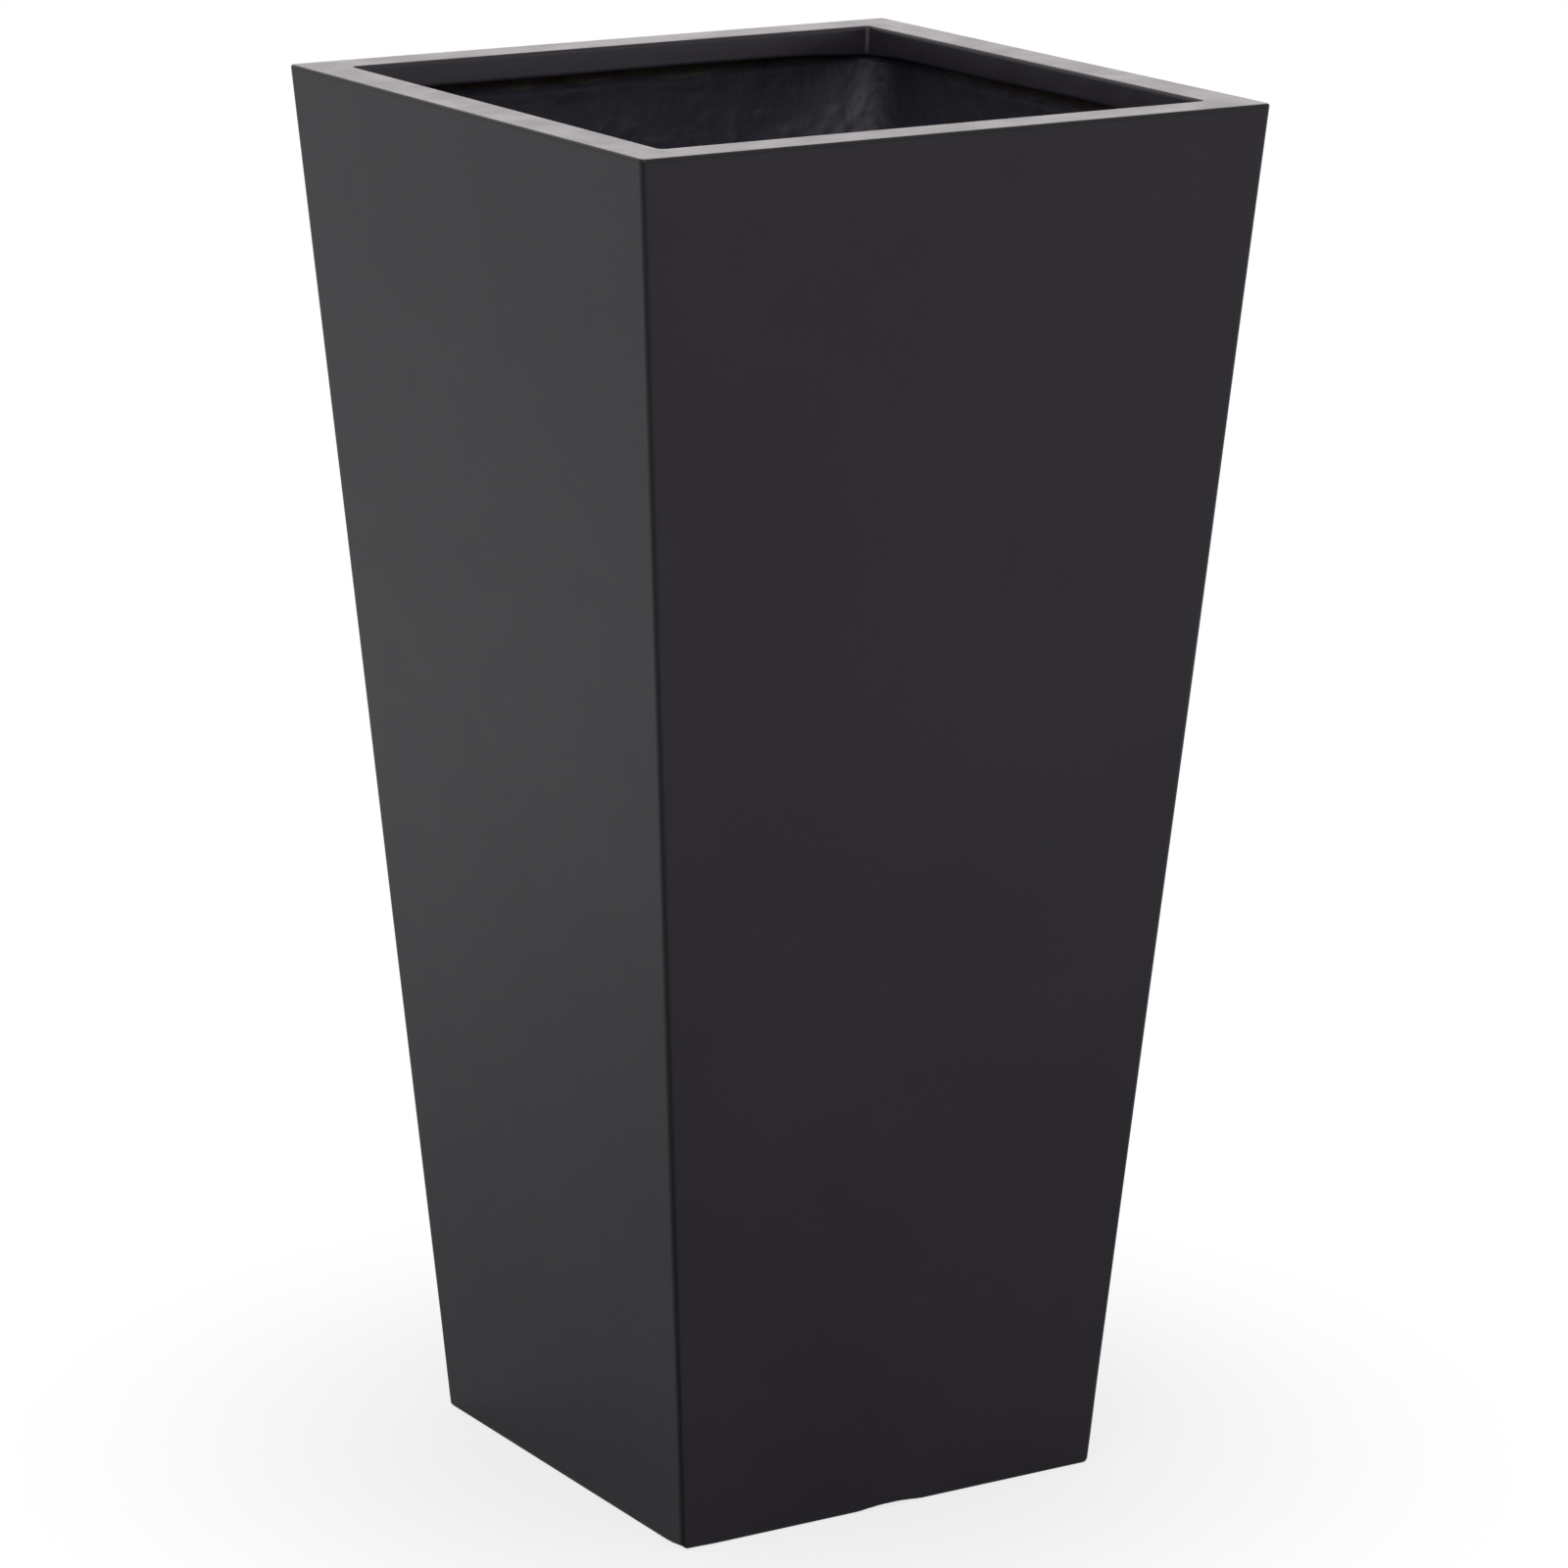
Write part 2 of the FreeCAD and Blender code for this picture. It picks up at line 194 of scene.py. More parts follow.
def closed_sheet(front: Grid, back: Grid) -> tuple[Grid, Faces, int]:
    """A closed slab between two grids: both faces, and a ribbon round the edge that joins them.

    Args:
        front: The grid whose face looks out, as rows x columns x 3.
        back: The grid behind it, of the same shape.

    Returns:
        The vertices, the quads and how many of the last ones are the ribbon's.
    """
    rows, columns = front.shape[:2]
    number = np.arange(rows * columns).reshape(rows, columns)
    loop = np.concatenate([number[0, :-1], number[:-1, -1], number[-1, :0:-1], number[:0:-1, 0]])
    after = np.roll(loop, -1)
    behind = rows * columns
    ribbon = np.stack([after, loop, loop + behind, after + behind], axis=-1)
    quads = grid_faces(rows, columns)
    faces = np.concatenate([quads, quads[:, ::-1] + behind, ribbon])
    return np.concatenate([front.reshape(-1, 3), back.reshape(-1, 3)]), faces, len(ribbon)


def mesh_object(name: str, vertices: Grid, faces: Sequence[Sequence[int]], flat: int = 0) -> Piece:
    """A smooth-shaded mesh object at the origin, linked to the scene.

    Args:
        name: The object's name.
        vertices: Places, as a list of x, y and z.
        faces: Vertex numbers of each face.
        flat: How many of the last faces are shaded flat, with crisp edges.

    Returns:
        The new object.
    """
    mesh = bpy.data.meshes.new(name)
    mesh.from_pydata(np.asarray(vertices, float).tolist(), [], [list(map(int, face)) for face in faces])
    mesh.polygons.foreach_set("use_smooth", np.arange(len(faces)) < len(faces) - flat)
    mesh.update()
    piece = bpy.data.objects.new(name, mesh)
    bpy.context.scene.collection.objects.link(piece)
    return piece


def wrapped_object(name: str, points: Grid) -> Piece:
    """A mesh object over a grid of places that joins up with itself along its rows and its columns."""
    faces = grid_faces(*points.shape[:2], wrap_rows=True, wrap_columns=True)
    return mesh_object(name, points.reshape(-1, 3), faces)


def point_values(piece: Piece, name: str, values: Grid) -> None:
    """Stores one number for each vertex, under a name that a material can read."""
    attribute = piece.data.attributes.new(name, "FLOAT", "POINT")
    attribute.data.foreach_set("value", np.ascontiguousarray(values, np.float32).ravel())


def install(piece: Piece, body: Body, slot: Slot, material: Material, *nodes: str) -> Piece:
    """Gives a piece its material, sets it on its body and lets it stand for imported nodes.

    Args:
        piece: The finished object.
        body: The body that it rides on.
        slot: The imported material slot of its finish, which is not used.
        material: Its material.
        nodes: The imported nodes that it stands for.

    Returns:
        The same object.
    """
    piece.data.materials.append(material)
    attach(piece, body.value)
    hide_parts(*nodes)
    LOG.info("%s: %d faces, stands for %s", piece.name, len(piece.data.polygons), ", ".join(nodes))
    return piece


# ---------------------------------------------------------------- shared form


@dataclass(frozen=True)
class Taper:
    """The tapered square hollow that every layer follows, with the sizes that they share, in metres."""

    top_width: float = 0.400
    base_width: float = 0.275
    height: float = 0.800
    wall: float = 0.003
    floor: float = 0.006
    floor_mat: float = 0.003
    lip_depth: float = 0.015
    bore_corner_radius: float = 0.002
    drain_radius: float = 0.011

    @property
    def mat_level(self) -> float:
        """Level of the floor mat's upper face."""
        return self.floor + self.floor_mat

    @property
    def lip_level(self) -> float:
        """Level of the lip's lower edge."""
        return self.height - self.lip_depth

    def half(self, level: Grid) -> Grid:
        """Half of the outside width at a level: it grows in a straight line from the foot to the rim."""
        return (self.base_width + (self.top_width - self.base_width) * level / self.height) / 2.0

    def bore(self, level: Grid) -> Grid:
        """Half of the width between the shell's inside faces at a level."""
        return self.half(level) - self.wall


@dataclass(frozen=True)
class SquarePath:
    """Stations round a square with rounded corners, anticlockwise from above, starting on the front side.

    Each station has a flat part and a round part, which are plain vectors. Its place is the flat part times
    (half width - corner radius), plus the round part times the corner radius. Where the profile asks for a
    circle, it is the half width times the station's direction from the middle, and in between a blend of
    both. Even and held say how far out to a side's ends its even stations and its two closer ones lie.
    """

    per_side: int = 76
    per_corner: int = 9
    even: float = 0.95
    held: Range = (0.975, 0.992)
    corner_spread: float = 0.12

    def parts(self) -> tuple[Grid, Grid, Grid]:
        """Works out the parts.

        Returns:
            The flat parts, the round parts and the directions from the middle, each as stations x 2.
        """
        held = np.array(self.held)
        middle = np.linspace(-self.even, self.even, self.per_side)
        along = np.concatenate([[-1.0], -held[::-1], middle, held, [1.0]])
        angle = np.radians(np.linspace(-90.0, 0.0, self.per_corner + 2)[1:-1])
        ones, none, corner = np.ones_like(along), np.zeros_like(along), np.ones_like(angle)
        flat = np.concatenate([np.stack([along, -ones], -1), np.stack([corner, -corner], -1)])
        bend = np.concatenate([np.stack([none, -ones], -1), np.stack([np.cos(angle), np.sin(angle)], -1)])
        flats, bends = [flat], [bend]
        for _ in range(3):
            flats.append(np.stack([-flats[-1][:, 1], flats[-1][:, 0]], -1))
            bends.append(np.stack([-bends[-1][:, 1], bends[-1][:, 0]], -1))
        flat, bend = np.concatenate(flats), np.concatenate(bends)
        toward = flat + self.corner_spread * bend
        return flat, bend, toward / np.linalg.norm(toward, axis=1, keepdims=True)

    def carry(self, profile: Grid) -> tuple[Grid, Grid]:
        """Carries a profile round the path.

        Args:
            profile: Stations of half width, level, corner radius and share of a circle, as stations x 4.

        Returns:
            The places, as profile stations x path stations x 3, and the outward directions of the path.
        """
        flat, bend, toward = self.parts()
        half, level, radius, circle = (profile[:, i, None, None] for i in range(4))
        plan = (1.0 - circle) * ((half - radius) * flat + radius * bend) + circle * half * toward
        height = np.broadcast_to(level, plan.shape[:2] + (1,))
        outward = np.concatenate([bend, np.zeros((len(bend), 1))], axis=-1)
        return np.concatenate([plan, height], axis=-1), outward


class Profile:
    """A closed outline, drawn anticlockwise from run to run.

    Its stations are half width, level, corner radius and share of a circle. HOLD is the way from a run's
    ends to the stations that hold its shading, and LONGEST_HOLD the most of the run that it may be.
    """

    HOLD = 0.0012
    LONGEST_HOLD = 0.2

    def __init__(self) -> None:
        """Starts an empty outline."""
        self.pieces: list[Grid] = []

    def run(self, first: Sequence[float], last: Sequence[float], count: int) -> None:
        """Adds a straight run, without its last station, held square next to both of its ends.

        Args:
            first: Half width, level and corner radius at the start, and 1 after them for a circle.
            last: The same at the end.
            count: Stations between the two held ones.
        """
        first, last = (np.array([*end, 0.0][:4], float) for end in (first, last))
        length = np.hypot(*(last - first)[:2])
        hold = min(self.HOLD / length, self.LONGEST_HOLD)
        t = np.concatenate([[0.0], np.linspace(hold, 1.0 - hold, count + 2)])
        self.pieces.append(first + (last - first) * t[:, None])

    def bend(self, centre: Sequence[float], radius: float, start: float, count: int) -> None:
        """Adds a quarter arc without its last station: the centre plus radius x (cosine, sine, cosine).

        Args:
            centre: Half width, level and corner radius at the arc's centre.
            radius: The arc's radius.
            start: Start angle in degrees, from straight outwards.
            count: Stations in the arc.
        """
        angle = np.radians(np.linspace(start, start + 90.0, count + 1)[:-1])
        offset = np.stack([np.cos(angle), np.sin(angle), np.cos(angle), 0.0 * angle], axis=-1)
        self.pieces.append(np.array([*centre, 0.0]) + radius * offset)

    def stations(self) -> Grid:
        """All the stations, as stations x 4."""
        return np.concatenate(self.pieces)


# ---------------------------------------------------------------- finishes


class Tree:
    """A node tree, with short ways to add nodes and feed them."""

    def __init__(self, tree: bpy.types.NodeTree) -> None:
        """Empties the tree and keeps it."""
        self.tree = tree
        tree.nodes.clear()

    def feed(self, node: Node, key: str | int, value: object) -> None:
        """Gives a node's input a value, or links it to the socket that feeds it.

        Args:
            node: The node.
            key: The input's name or number.
            value: The value, or the output socket.
        """
        if isinstance(value, bpy.types.NodeSocket):
            self.tree.links.new(value, node.inputs[key])
        else:
            node.inputs[key].default_value = value

    def add(self, kind: str, feeds: dict | None = None, **settings: object) -> Node:
        """Adds a node.

        Args:
            kind: The node's type name.
            feeds: For an input's name or number, a value or an output socket that feeds it.
            settings: The node's own properties.

        Returns:
            The new node.
        """
        node = self.tree.nodes.new(kind)
        for key, value in settings.items():
            setattr(node, key, value)
        for key, value in (feeds or {}).items():
            self.feed(node, key, value)
        return node

    def mix(self, share: object, first: object, second: object) -> Socket:
        """A colour mix: the first colour where share is 0, the second where it is 1."""
        return self.add("ShaderNodeMix", {0: share, 6: first, 7: second}, data_type="RGBA").outputs[2]

    def span(self, value: Socket, low: float, high: float) -> Socket:
        """Spreads a value from 0 to 1 over low to high."""
        return self.add("ShaderNodeMapRange", {"Value": value, "To Min": low, "To Max": high}).outputs[0]

    def maths(self, operation: str, first: object, second: object) -> Socket:
        """One arithmetic step on two numbers or sockets."""
        return self.add("ShaderNodeMath", {0: first, 1: second}, operation=operation).outputs[0]

    def stored(self, name: str) -> Socket:
        """The number that the mesh holds under a name for each vertex."""
        return self.add("ShaderNodeAttribute", attribute_name=name).outputs["Fac"]


def new_group(name: str, inputs: dict[str, float], outputs: Sequence[str]) -> tuple[Tree, Node, Node]:
    """Starts a shader node group with named number sockets.

    Args:
        name: The group's name.
        inputs: Each input's name and its usual value.
        outputs: The outputs' names.

    Returns:
        The group's tree, its input node and its output node.
    """
    group = bpy.data.node_groups.new(name, "ShaderNodeTree")
    for label, usual in inputs.items():
        socket = group.interface.new_socket(label, in_out="INPUT", socket_type="NodeSocketFloat")
        socket.default_value = usual
    for label in outputs:
        group.interface.new_socket(label, in_out="OUTPUT", socket_type="NodeSocketFloat")
    tree = Tree(group)
    return tree, tree.add("NodeGroupInput"), tree.add("NodeGroupOutput")


@dataclass(frozen=True)
class Patches:
    """Soft patches: noise on Object coordinates, spread from 0 to 1 between two levels of the noise."""

    scale: float
    low: float = 0.4
    high: float = 0.6

    @staticmethod
    def group() -> bpy.types.NodeTree:
        """Builds the patches' node group.

        Returns:
            The group.
        """
        tree, given, out = new_group("patches", {"Scale": 10.0, "Low": 0.4, "High": 0.6}, ["Mask"])
        scale, low, high = (given.outputs[label] for label in ("Scale", "Low", "High"))
        place = tree.add("ShaderNodeTexCoord").outputs["Object"]
        noise = tree.add("ShaderNodeTexNoise", {"Vector": place, "Scale": scale, "Detail": 4.0})
        feeds = {"Value": noise.outputs[0], "From Min": low, "From Max": high}
        spread = tree.add("ShaderNodeMapRange", feeds, interpolation_type="SMOOTHSTEP")
        tree.feed(out, "Mask", spread.outputs[0])
        return tree.tree


@dataclass(frozen=True)
class Relief:
    """Fine relief: noise stretched upwards, plus a third of the same noise at three times the scale.

    The distance is its full height in metres, and the strength is how much of that shows.
    """

    scale: float
    distance: float
    strength: float
    stretch: float = 1.0
    detail: float = 2.0

    @staticmethod
    def group() -> bpy.types.NodeTree:
        """Builds the relief's node group.

        Returns:
            The group.
        """
        inputs = {"Scale": 100.0, "Upward Stretch": 1.0, "Detail": 2.0}
        tree, given, out = new_group("fine_relief", inputs, ["Height"])
        scale, stretch, detail = (given.outputs[label] for label in inputs)
        place = tree.add("ShaderNodeTexCoord").outputs["Object"]
        split = tree.add("ShaderNodeSeparateXYZ", {0: place}).outputs
        upward = tree.maths("DIVIDE", split["Z"], stretch)
        pulled = tree.add("ShaderNodeCombineXYZ", {"X": split["X"], "Y": split["Y"], "Z": upward})
        finer = tree.maths("MULTIPLY", scale, 3.0)
        feeds = {"Vector": pulled.outputs[0], "Detail": detail}
        coarse = tree.add("ShaderNodeTexNoise", {**feeds, "Scale": scale})
        fine = tree.add("ShaderNodeTexNoise", {**feeds, "Scale": finer})
        third = tree.maths("MULTIPLY", fine.outputs[0], 0.33)
        tree.feed(out, "Height", tree.maths("ADD", coarse.outputs[0], third))
        return tree.tree


class Effects:
    """The node groups that the finishes share, each built once."""

    def __init__(self) -> None:
        """Builds the groups."""
        self.patches = Patches.group()
        self.relief = Relief.group()

    def mask(self, tree: Tree, patches: Patches) -> Socket:
        """Places the patches in a material with its own values."""
        feeds = {"Scale": patches.scale, "Low": patches.low, "High": patches.high}
        return tree.add("ShaderNodeGroup", feeds, node_tree=self.patches).outputs["Mask"]

    def bump(self, tree: Tree, relief: Relief, under: Socket | None = None) -> Socket:
        """Raises the fine relief as a bump over the surface, or over another bump.

        Args:
            tree: The material's tree.
            relief: The values that it has there.
            under: The normal of the bump below, or None.

        Returns:
            The bumped normal.
        """
        feeds = {"Scale": relief.scale, "Upward Stretch": relief.stretch, "Detail": relief.detail}
        height = tree.add("ShaderNodeGroup", feeds, node_tree=self.relief).outputs["Height"]
        raised = {"Height": height, "Distance": relief.distance, "Strength": relief.strength}
        if under is not None:
            raised["Normal"] = under
        return tree.add("ShaderNodeBump", raised).outputs["Normal"]


def new_material(name: str, specular: float) -> tuple[Tree, Node, Material]:
    """A material with a Principled shader on its output.

    Args:
        name: The material's name.
        specular: The shader's specular level.

    Returns:
        Its tree, its shader and the material.
    """
    material = bpy.data.materials.new(name)
    material.use_nodes = True
    tree = Tree(material.node_tree)
    shader = tree.add("ShaderNodeBsdfPrincipled", {"Specular IOR Level": specular})
    tree.add("ShaderNodeOutputMaterial", {"Surface": shader.outputs[0]})
    return tree, shader, material


@dataclass(frozen=True)
class SatinPaint:
    """Black spray paint rubbed to a satin: faint orange peel, slow waves and a painted dark line, standing
    in for shade, on each arris.
    """

    colour: Colour = (0.0176, 0.0143, 0.0202, 1.0)
    worn_colour: Colour = (0.0200, 0.0166, 0.0226, 1.0)
    # painted shade: near-black colour for the dark line on each arris, in place of the dark that the edge
    # mirrors
    arris_shade_colour: Colour = (0.0020, 0.0020, 0.0026, 1.0)
    specular: float = 0.25
    roughness: Range = (0.25, 0.31)
    wear: Patches = Patches(7.0, 0.35, 0.7)
    haze: Patches = Patches(34.0, 0.3, 0.7)
    waves: Relief = Relief(6.0, 0.0006, 0.22, detail=0.0)
    peel: Relief = Relief(450.0, 0.00010, 0.25)

    def material(self, effects: Effects) -> Material:
        """Builds the paint's material.

        Args:
            effects: The shared node groups.

        Returns:
            The material, which reads the mesh's value for the painted shade on each arris.
        """
        tree, shader, material = new_material("satin_paint", self.specular)
        cloudy = tree.mix(effects.mask(tree, self.wear), self.colour, self.worn_colour)
        # painted shade: the colour turns near-black along each upright arris and the rim's outer edge
        tree.feed(shader, "Base Color", tree.mix(tree.stored("arris_shade"), cloudy, self.arris_shade_colour))
        tree.feed(shader, "Roughness", tree.span(effects.mask(tree, self.haze), *self.roughness))
        tree.feed(shader, "Normal", effects.bump(tree, self.peel, effects.bump(tree, self.waves)))
        return material


@dataclass(frozen=True)
class BrushedLaminate:
    """Hand-laid glass mat under thick brushed black paint, bare and brown where the paint stops, with a
    painted highlight in the inside corners.
    """

    colour: Colour = (0.0255, 0.0242, 0.0345, 1.0)
    thin_colour: Colour = (0.0295, 0.0282, 0.0390, 1.0)
    # painted highlight: much lighter paint in the inside corners, where the sweep faces the light
    corner_highlight_colour: Colour = (0.0880, 0.0845, 0.1040, 1.0)
    raw_colour: Colour = (0.0270, 0.0165, 0.0160, 1.0)
    resin_colour: Colour = (0.0360, 0.0310, 0.0225, 1.0)
    seam_colour: Colour = (0.0600, 0.0560, 0.0450, 1.0)
    specular: float = 0.20
    roughness: Range = (0.46, 0.62)
    raw_roughness: float = 0.2
    thin_spots: Patches = Patches(46.0, 0.42, 0.62)
    resin_spots: Patches = Patches(60.0, 0.40, 0.60)
    seam_spots: Patches = Patches(26.0, 0.50, 0.62)
    gloss: Patches = Patches(55.0, 0.3, 0.7)
    strokes: Relief = Relief(240.0, 0.0008, 0.40, stretch=5.0)
    fibres: Relief = Relief(380.0, 0.0007, 0.50)

    def material(self, effects: Effects) -> Material:
        """Builds the laminate's material.

        Args:
            effects: The shared node groups.

        Returns:
            The material, which reads the mesh's values "raw", "seam" and "corner", the last a painted
            highlight.
        """
        tree, shader, material = new_material("brushed_laminate", self.specular)
        raw, seam, corner = (tree.stored(name) for name in ("raw", "seam", "corner"))
        even = tree.mix(effects.mask(tree, self.thin_spots), self.colour, self.thin_colour)
        # painted highlight: lightens the paint towards each inside corner
        paint = tree.mix(corner, even, self.corner_highlight_colour)
        bare = tree.mix(effects.mask(tree, self.resin_spots), self.raw_colour, self.resin_colour)
        edge = tree.maths("MULTIPLY", seam, effects.mask(tree, self.seam_spots))
        tree.feed(shader, "Base Color", tree.mix(edge, tree.mix(raw, paint, bare), self.seam_colour))
        gloss = tree.span(effects.mask(tree, self.gloss), *self.roughness)
        rougher = tree.maths("MULTIPLY", raw, self.raw_roughness)
        tree.feed(shader, "Roughness", tree.maths("ADD", gloss, rougher))
        tree.feed(shader, "Normal", effects.bump(tree, self.fibres, effects.bump(tree, self.strokes)))
        return material


@dataclass(frozen=True)
class SpottedFinish:
    """A plain finish with patches of a second colour, uneven roughness and one relief."""

    name: str
    colour: Colour
    spot_colour: Colour
    specular: float
    roughness: Range
    spots: Patches
    haze: Patches
    relief: Relief

    def material(self, effects: Effects) -> Material:
        """Builds the finish's material.

        Args:
            effects: The shared node groups.

        Returns:
            The material.
        """
        tree, shader, material = new_material(self.name, self.specular)
        spotted = tree.mix(effects.mask(tree, self.spots), self.colour, self.spot_colour)
        tree.feed(shader, "Base Color", spotted)
        tree.feed(shader, "Roughness", tree.span(effects.mask(tree, self.haze), *self.roughness))
        tree.feed(shader, "Normal", effects.bump(tree, self.relief))
        return material


@dataclass(frozen=True)
class RawResin(SpottedFinish):
    """Unpainted brown filler, rough where it was pressed in by hand."""

    name: str = "raw_resin"
    colour: Colour = (0.020, 0.0125, 0.0080, 1.0)
    spot_colour: Colour = (0.075, 0.0420, 0.0190, 1.0)
    specular: float = 0.5
    roughness: Range = (0.45, 0.65)
    spots: Patches = Patches(60.0, 0.4, 0.65)
    haze: Patches = Patches(90.0)
    relief: Relief = Relief(260.0, 0.0008, 0.5)


@dataclass(frozen=True)
class PlainRubber(SpottedFinish):
    """Moulded black rubber, a little dusty."""

    name: str = "plain_rubber"
    colour: Colour = (0.0110, 0.0110, 0.0115, 1.0)
    spot_colour: Colour = (0.0300, 0.0290, 0.0270, 1.0)
    specular: float = 0.35
    roughness: Range = (0.55, 0.75)
    spots: Patches = Patches(120.0, 0.45, 0.7)
    haze: Patches = Patches(200.0)
    relief: Relief = Relief(900.0, 0.0002, 0.35)


# ---------------------------------------------------------------- the shell


@dataclass(frozen=True)
class OuterShell:
    """The moulding as one closed surface: underside, tapered walls, flat rim, hanging lip, inside and floor.

    Its waves are wave deep and wave_cell apart, and start over wave_start above the foot. They reach the
    stations whose way out to the outer face is past outside. The lip's edge wavers by lip_wave and hangs
    lip_drop lower in the corners. The foot is rubbed away by foot_wear at the front left. An upright corner
    gets a painted dark line, which stands in for shade, where it has turned by arris_turn, in degrees, above
    arris_low, and so does the rim's outer edge. Skin is how near counts as on it.
    """

    taper: Taper
    path: SquarePath = SquarePath()
    rim_width: float = 0.027
    rim_thickness: float = 0.003
    lip_wall: float = 0.003
    corner_radius: float = 0.004
    mouth_corner_radius: float = 0.003
    base_edge_radius: float = 0.0032
    rim_edge_radius: float = 0.0014
    mouth_edge_radius: float = 0.0012
    lip_edge_radius: float = 0.0009
    channel_width: float = 0.046
    channel_depth: float = 0.0024
    wave: float = 0.00024
    wave_cell: Place = (0.17, 0.17, 0.24)
    wave_start: Range = (0.01, 0.06)
    outside: Range = (-0.003, -0.0005)
    lip_wave: float = 0.0006
    lip_wave_cell: Place = (0.05, 0.05, 1.0)
    lip_drop: float = 0.0020
    lip_drop_reach: float = 0.022
    lip_fade: Range = (0.001, 0.004)
    foot_wear: float = 0.0019
    foot_wear_length: float = 0.011
    foot_wear_width: float = 0.012
    foot_wear_height: float = 0.006
    foot_wear_start: float = 0.25
    arris_turn: Range = (14.0, 40.0)
    arris_low: float = 0.002
    skin: float = 0.0001

    def mouth(self, level: Grid) -> Grid:
        """Half of the mouth's width at a level."""
        return self.taper.half(level) - self.rim_width

    def profile(self) -> Grid:
        """The closed outline, from the drain hole out under the foot, up, over the rim and back inside.

        Returns:
            Stations of half width, level, corner radius and share of a circle.
        """
        taper = self.taper
        top, lip, floor, drain = taper.height, taper.lip_level, taper.floor, taper.drain_radius
        plate = top - self.rim_thickness
        base, rim = self.base_edge_radius, self.rim_edge_radius
        mouth, edge = self.mouth_edge_radius, self.lip_edge_radius
        foot, head = taper.half(base) - base, taper.half(top - rim) - rim
        corner, snug, round_in = self.corner_radius, taper.bore_corner_radius, self.mouth_corner_radius
        inner, low_in, back = self.mouth(top), self.mouth(lip), self.lip_wall
        outline = Profile()
        outline.run((drain, 0.0, drain, 1), (foot, 0.0, corner - base), 14)
        outline.bend((foot, base, corner - base), base, -90.0, 6)
        outline.run((foot + base, base, corner), (head + rim, top - rim, corner), 64)
        outline.bend((head, top - rim, corner - rim), rim, 0.0, 6)
        outline.run((head, top, corner - rim), (inner + mouth, top, round_in + mouth), 4)
        outline.bend((inner + mouth, top - mouth, round_in + mouth), mouth, 90.0, 6)
        outline.run((self.mouth(top - mouth), top - mouth, round_in), (low_in, lip + edge, round_in), 5)
        outline.bend((low_in + edge, lip + edge, round_in + edge), edge, 180.0, 4)
        outline.bend((low_in + back - edge, lip + edge, round_in + back - edge), edge, 270.0, 4)
        outline.run((low_in + back, lip + edge, round_in), (self.mouth(plate) + back, plate, round_in), 2)
        outline.run((self.mouth(plate) + back, plate, round_in), (taper.bore(plate), plate, snug), 2)
        outline.run((taper.bore(plate), plate, snug), (taper.bore(floor), floor, snug), 10)
        outline.run((taper.bore(floor), floor, snug), (drain, floor, drain, 1), 8)
        outline.run((drain, floor, drain, 1), (drain, 0.0, drain, 1), 1)
        return outline.stations()

    def channel(self, across: Grid) -> Grid:
        """The drain channel's roof: an arc through its two edges at level 0 and its depth at the middle.

        Args:
            across: The way from the channel's middle line.

        Returns:
            The roof's level, which is below 0 beside the channel.
        """
        half, depth = self.channel_width / 2.0, self.channel_depth
        radius = (half**2 + depth**2) / (2.0 * depth)
        return np.sqrt(np.maximum(radius**2 - across**2, 0.0)) - (radius - depth)

    def lip_edge(self, points: Grid) -> Grid:
        """Change of level along the lip's lower edge: it wavers, and hangs lower in the corners.

        Args:
            points: Places on the shell.

        Returns:
            Metres upwards, which fade out away from the edge.
        """
        lip = self.taper.lip_level
        near = 1.0 - ease(np.abs(points[..., 2] - lip), *self.lip_fade)
        uneven = LatticeNoise(12)(points, self.lip_wave_cell)
        from_corner = np.linalg.norm(self.mouth(lip) - np.abs(points[..., :2]), axis=-1)
        return near * (self.lip_wave * uneven - self.lip_drop * bell(from_corner, 0.0, self.lip_drop_reach))

    def worn_foot(self, points: Grid) -> Grid:
        """Rise of the foot's edge on the left, by the front left corner: a bell curve on each axis.

        Args:
            points: Places on the shell.

        Returns:
            Metres upwards, which fade out above the edge.
        """
        half = self.taper.base_width / 2.0
        along = (points[..., 1] + half) / self.foot_wear_length
        across = (points[..., 0] + half) / self.foot_wear_width
        low = 1.0 - ease(points[..., 2], 0.0, self.foot_wear_height)
        spot = np.exp(-(along**2) - across**2) * ease(along, 0.0, self.foot_wear_start)
        return self.foot_wear * spot * low

    def surface(self) -> Grid:
        """The profile carried round the rounded square, waved by slow noise and cut by the channel.

        The waves go inwards only and stay on the outside, so the shell keeps inside its box.

        Returns:
            The places, as profile stations x path stations x 3.
        """
        profile = self.profile()
        half, level = profile[:, :2].T
        points, outward = self.path.carry(profile)
        slow = LatticeNoise(11)(points, self.wave_cell) - 1.0
        outside = ease(half - self.taper.half(level), *self.outside)[:, None]
        points += outward * (self.wave * slow * outside * ease(points[..., 2], *self.wave_start))[..., None]
        hanging = (half < self.mouth(self.taper.lip_level) + 2.0 * self.lip_wall)[:, None]
        points[..., 2] += np.where(hanging, self.lip_edge(points), 0.0)
        points[..., 2] += self.worn_foot(points)
        points[..., 2] = np.maximum(points[..., 2], self.channel(points[..., 0]))
        return points

    def arris_shade(self) -> Grid:
        """How much of the painted dark line, which stands in for shade, is at each vertex.

        Returns:
            1 down the middle of each outside upright corner and on the rim's outer edge, and 0 elsewhere.
        """
        _, bend, _ = self.path.parts()
        turned = np.degrees(np.arctan2(np.min(np.abs(bend), axis=1), np.max(np.abs(bend), axis=1)))
        half, level = self.profile()[:, :2].T
        outer, rim, skin = self.taper.half(level), self.rim_edge_radius, self.skin
        outside = (half > outer - skin) & (level > self.arris_low)
        edge = (half > outer - rim) & (level > self.taper.height - rim - skin)
        return np.maximum(outside[:, None] * ease(turned, *self.arris_turn), edge[:, None])

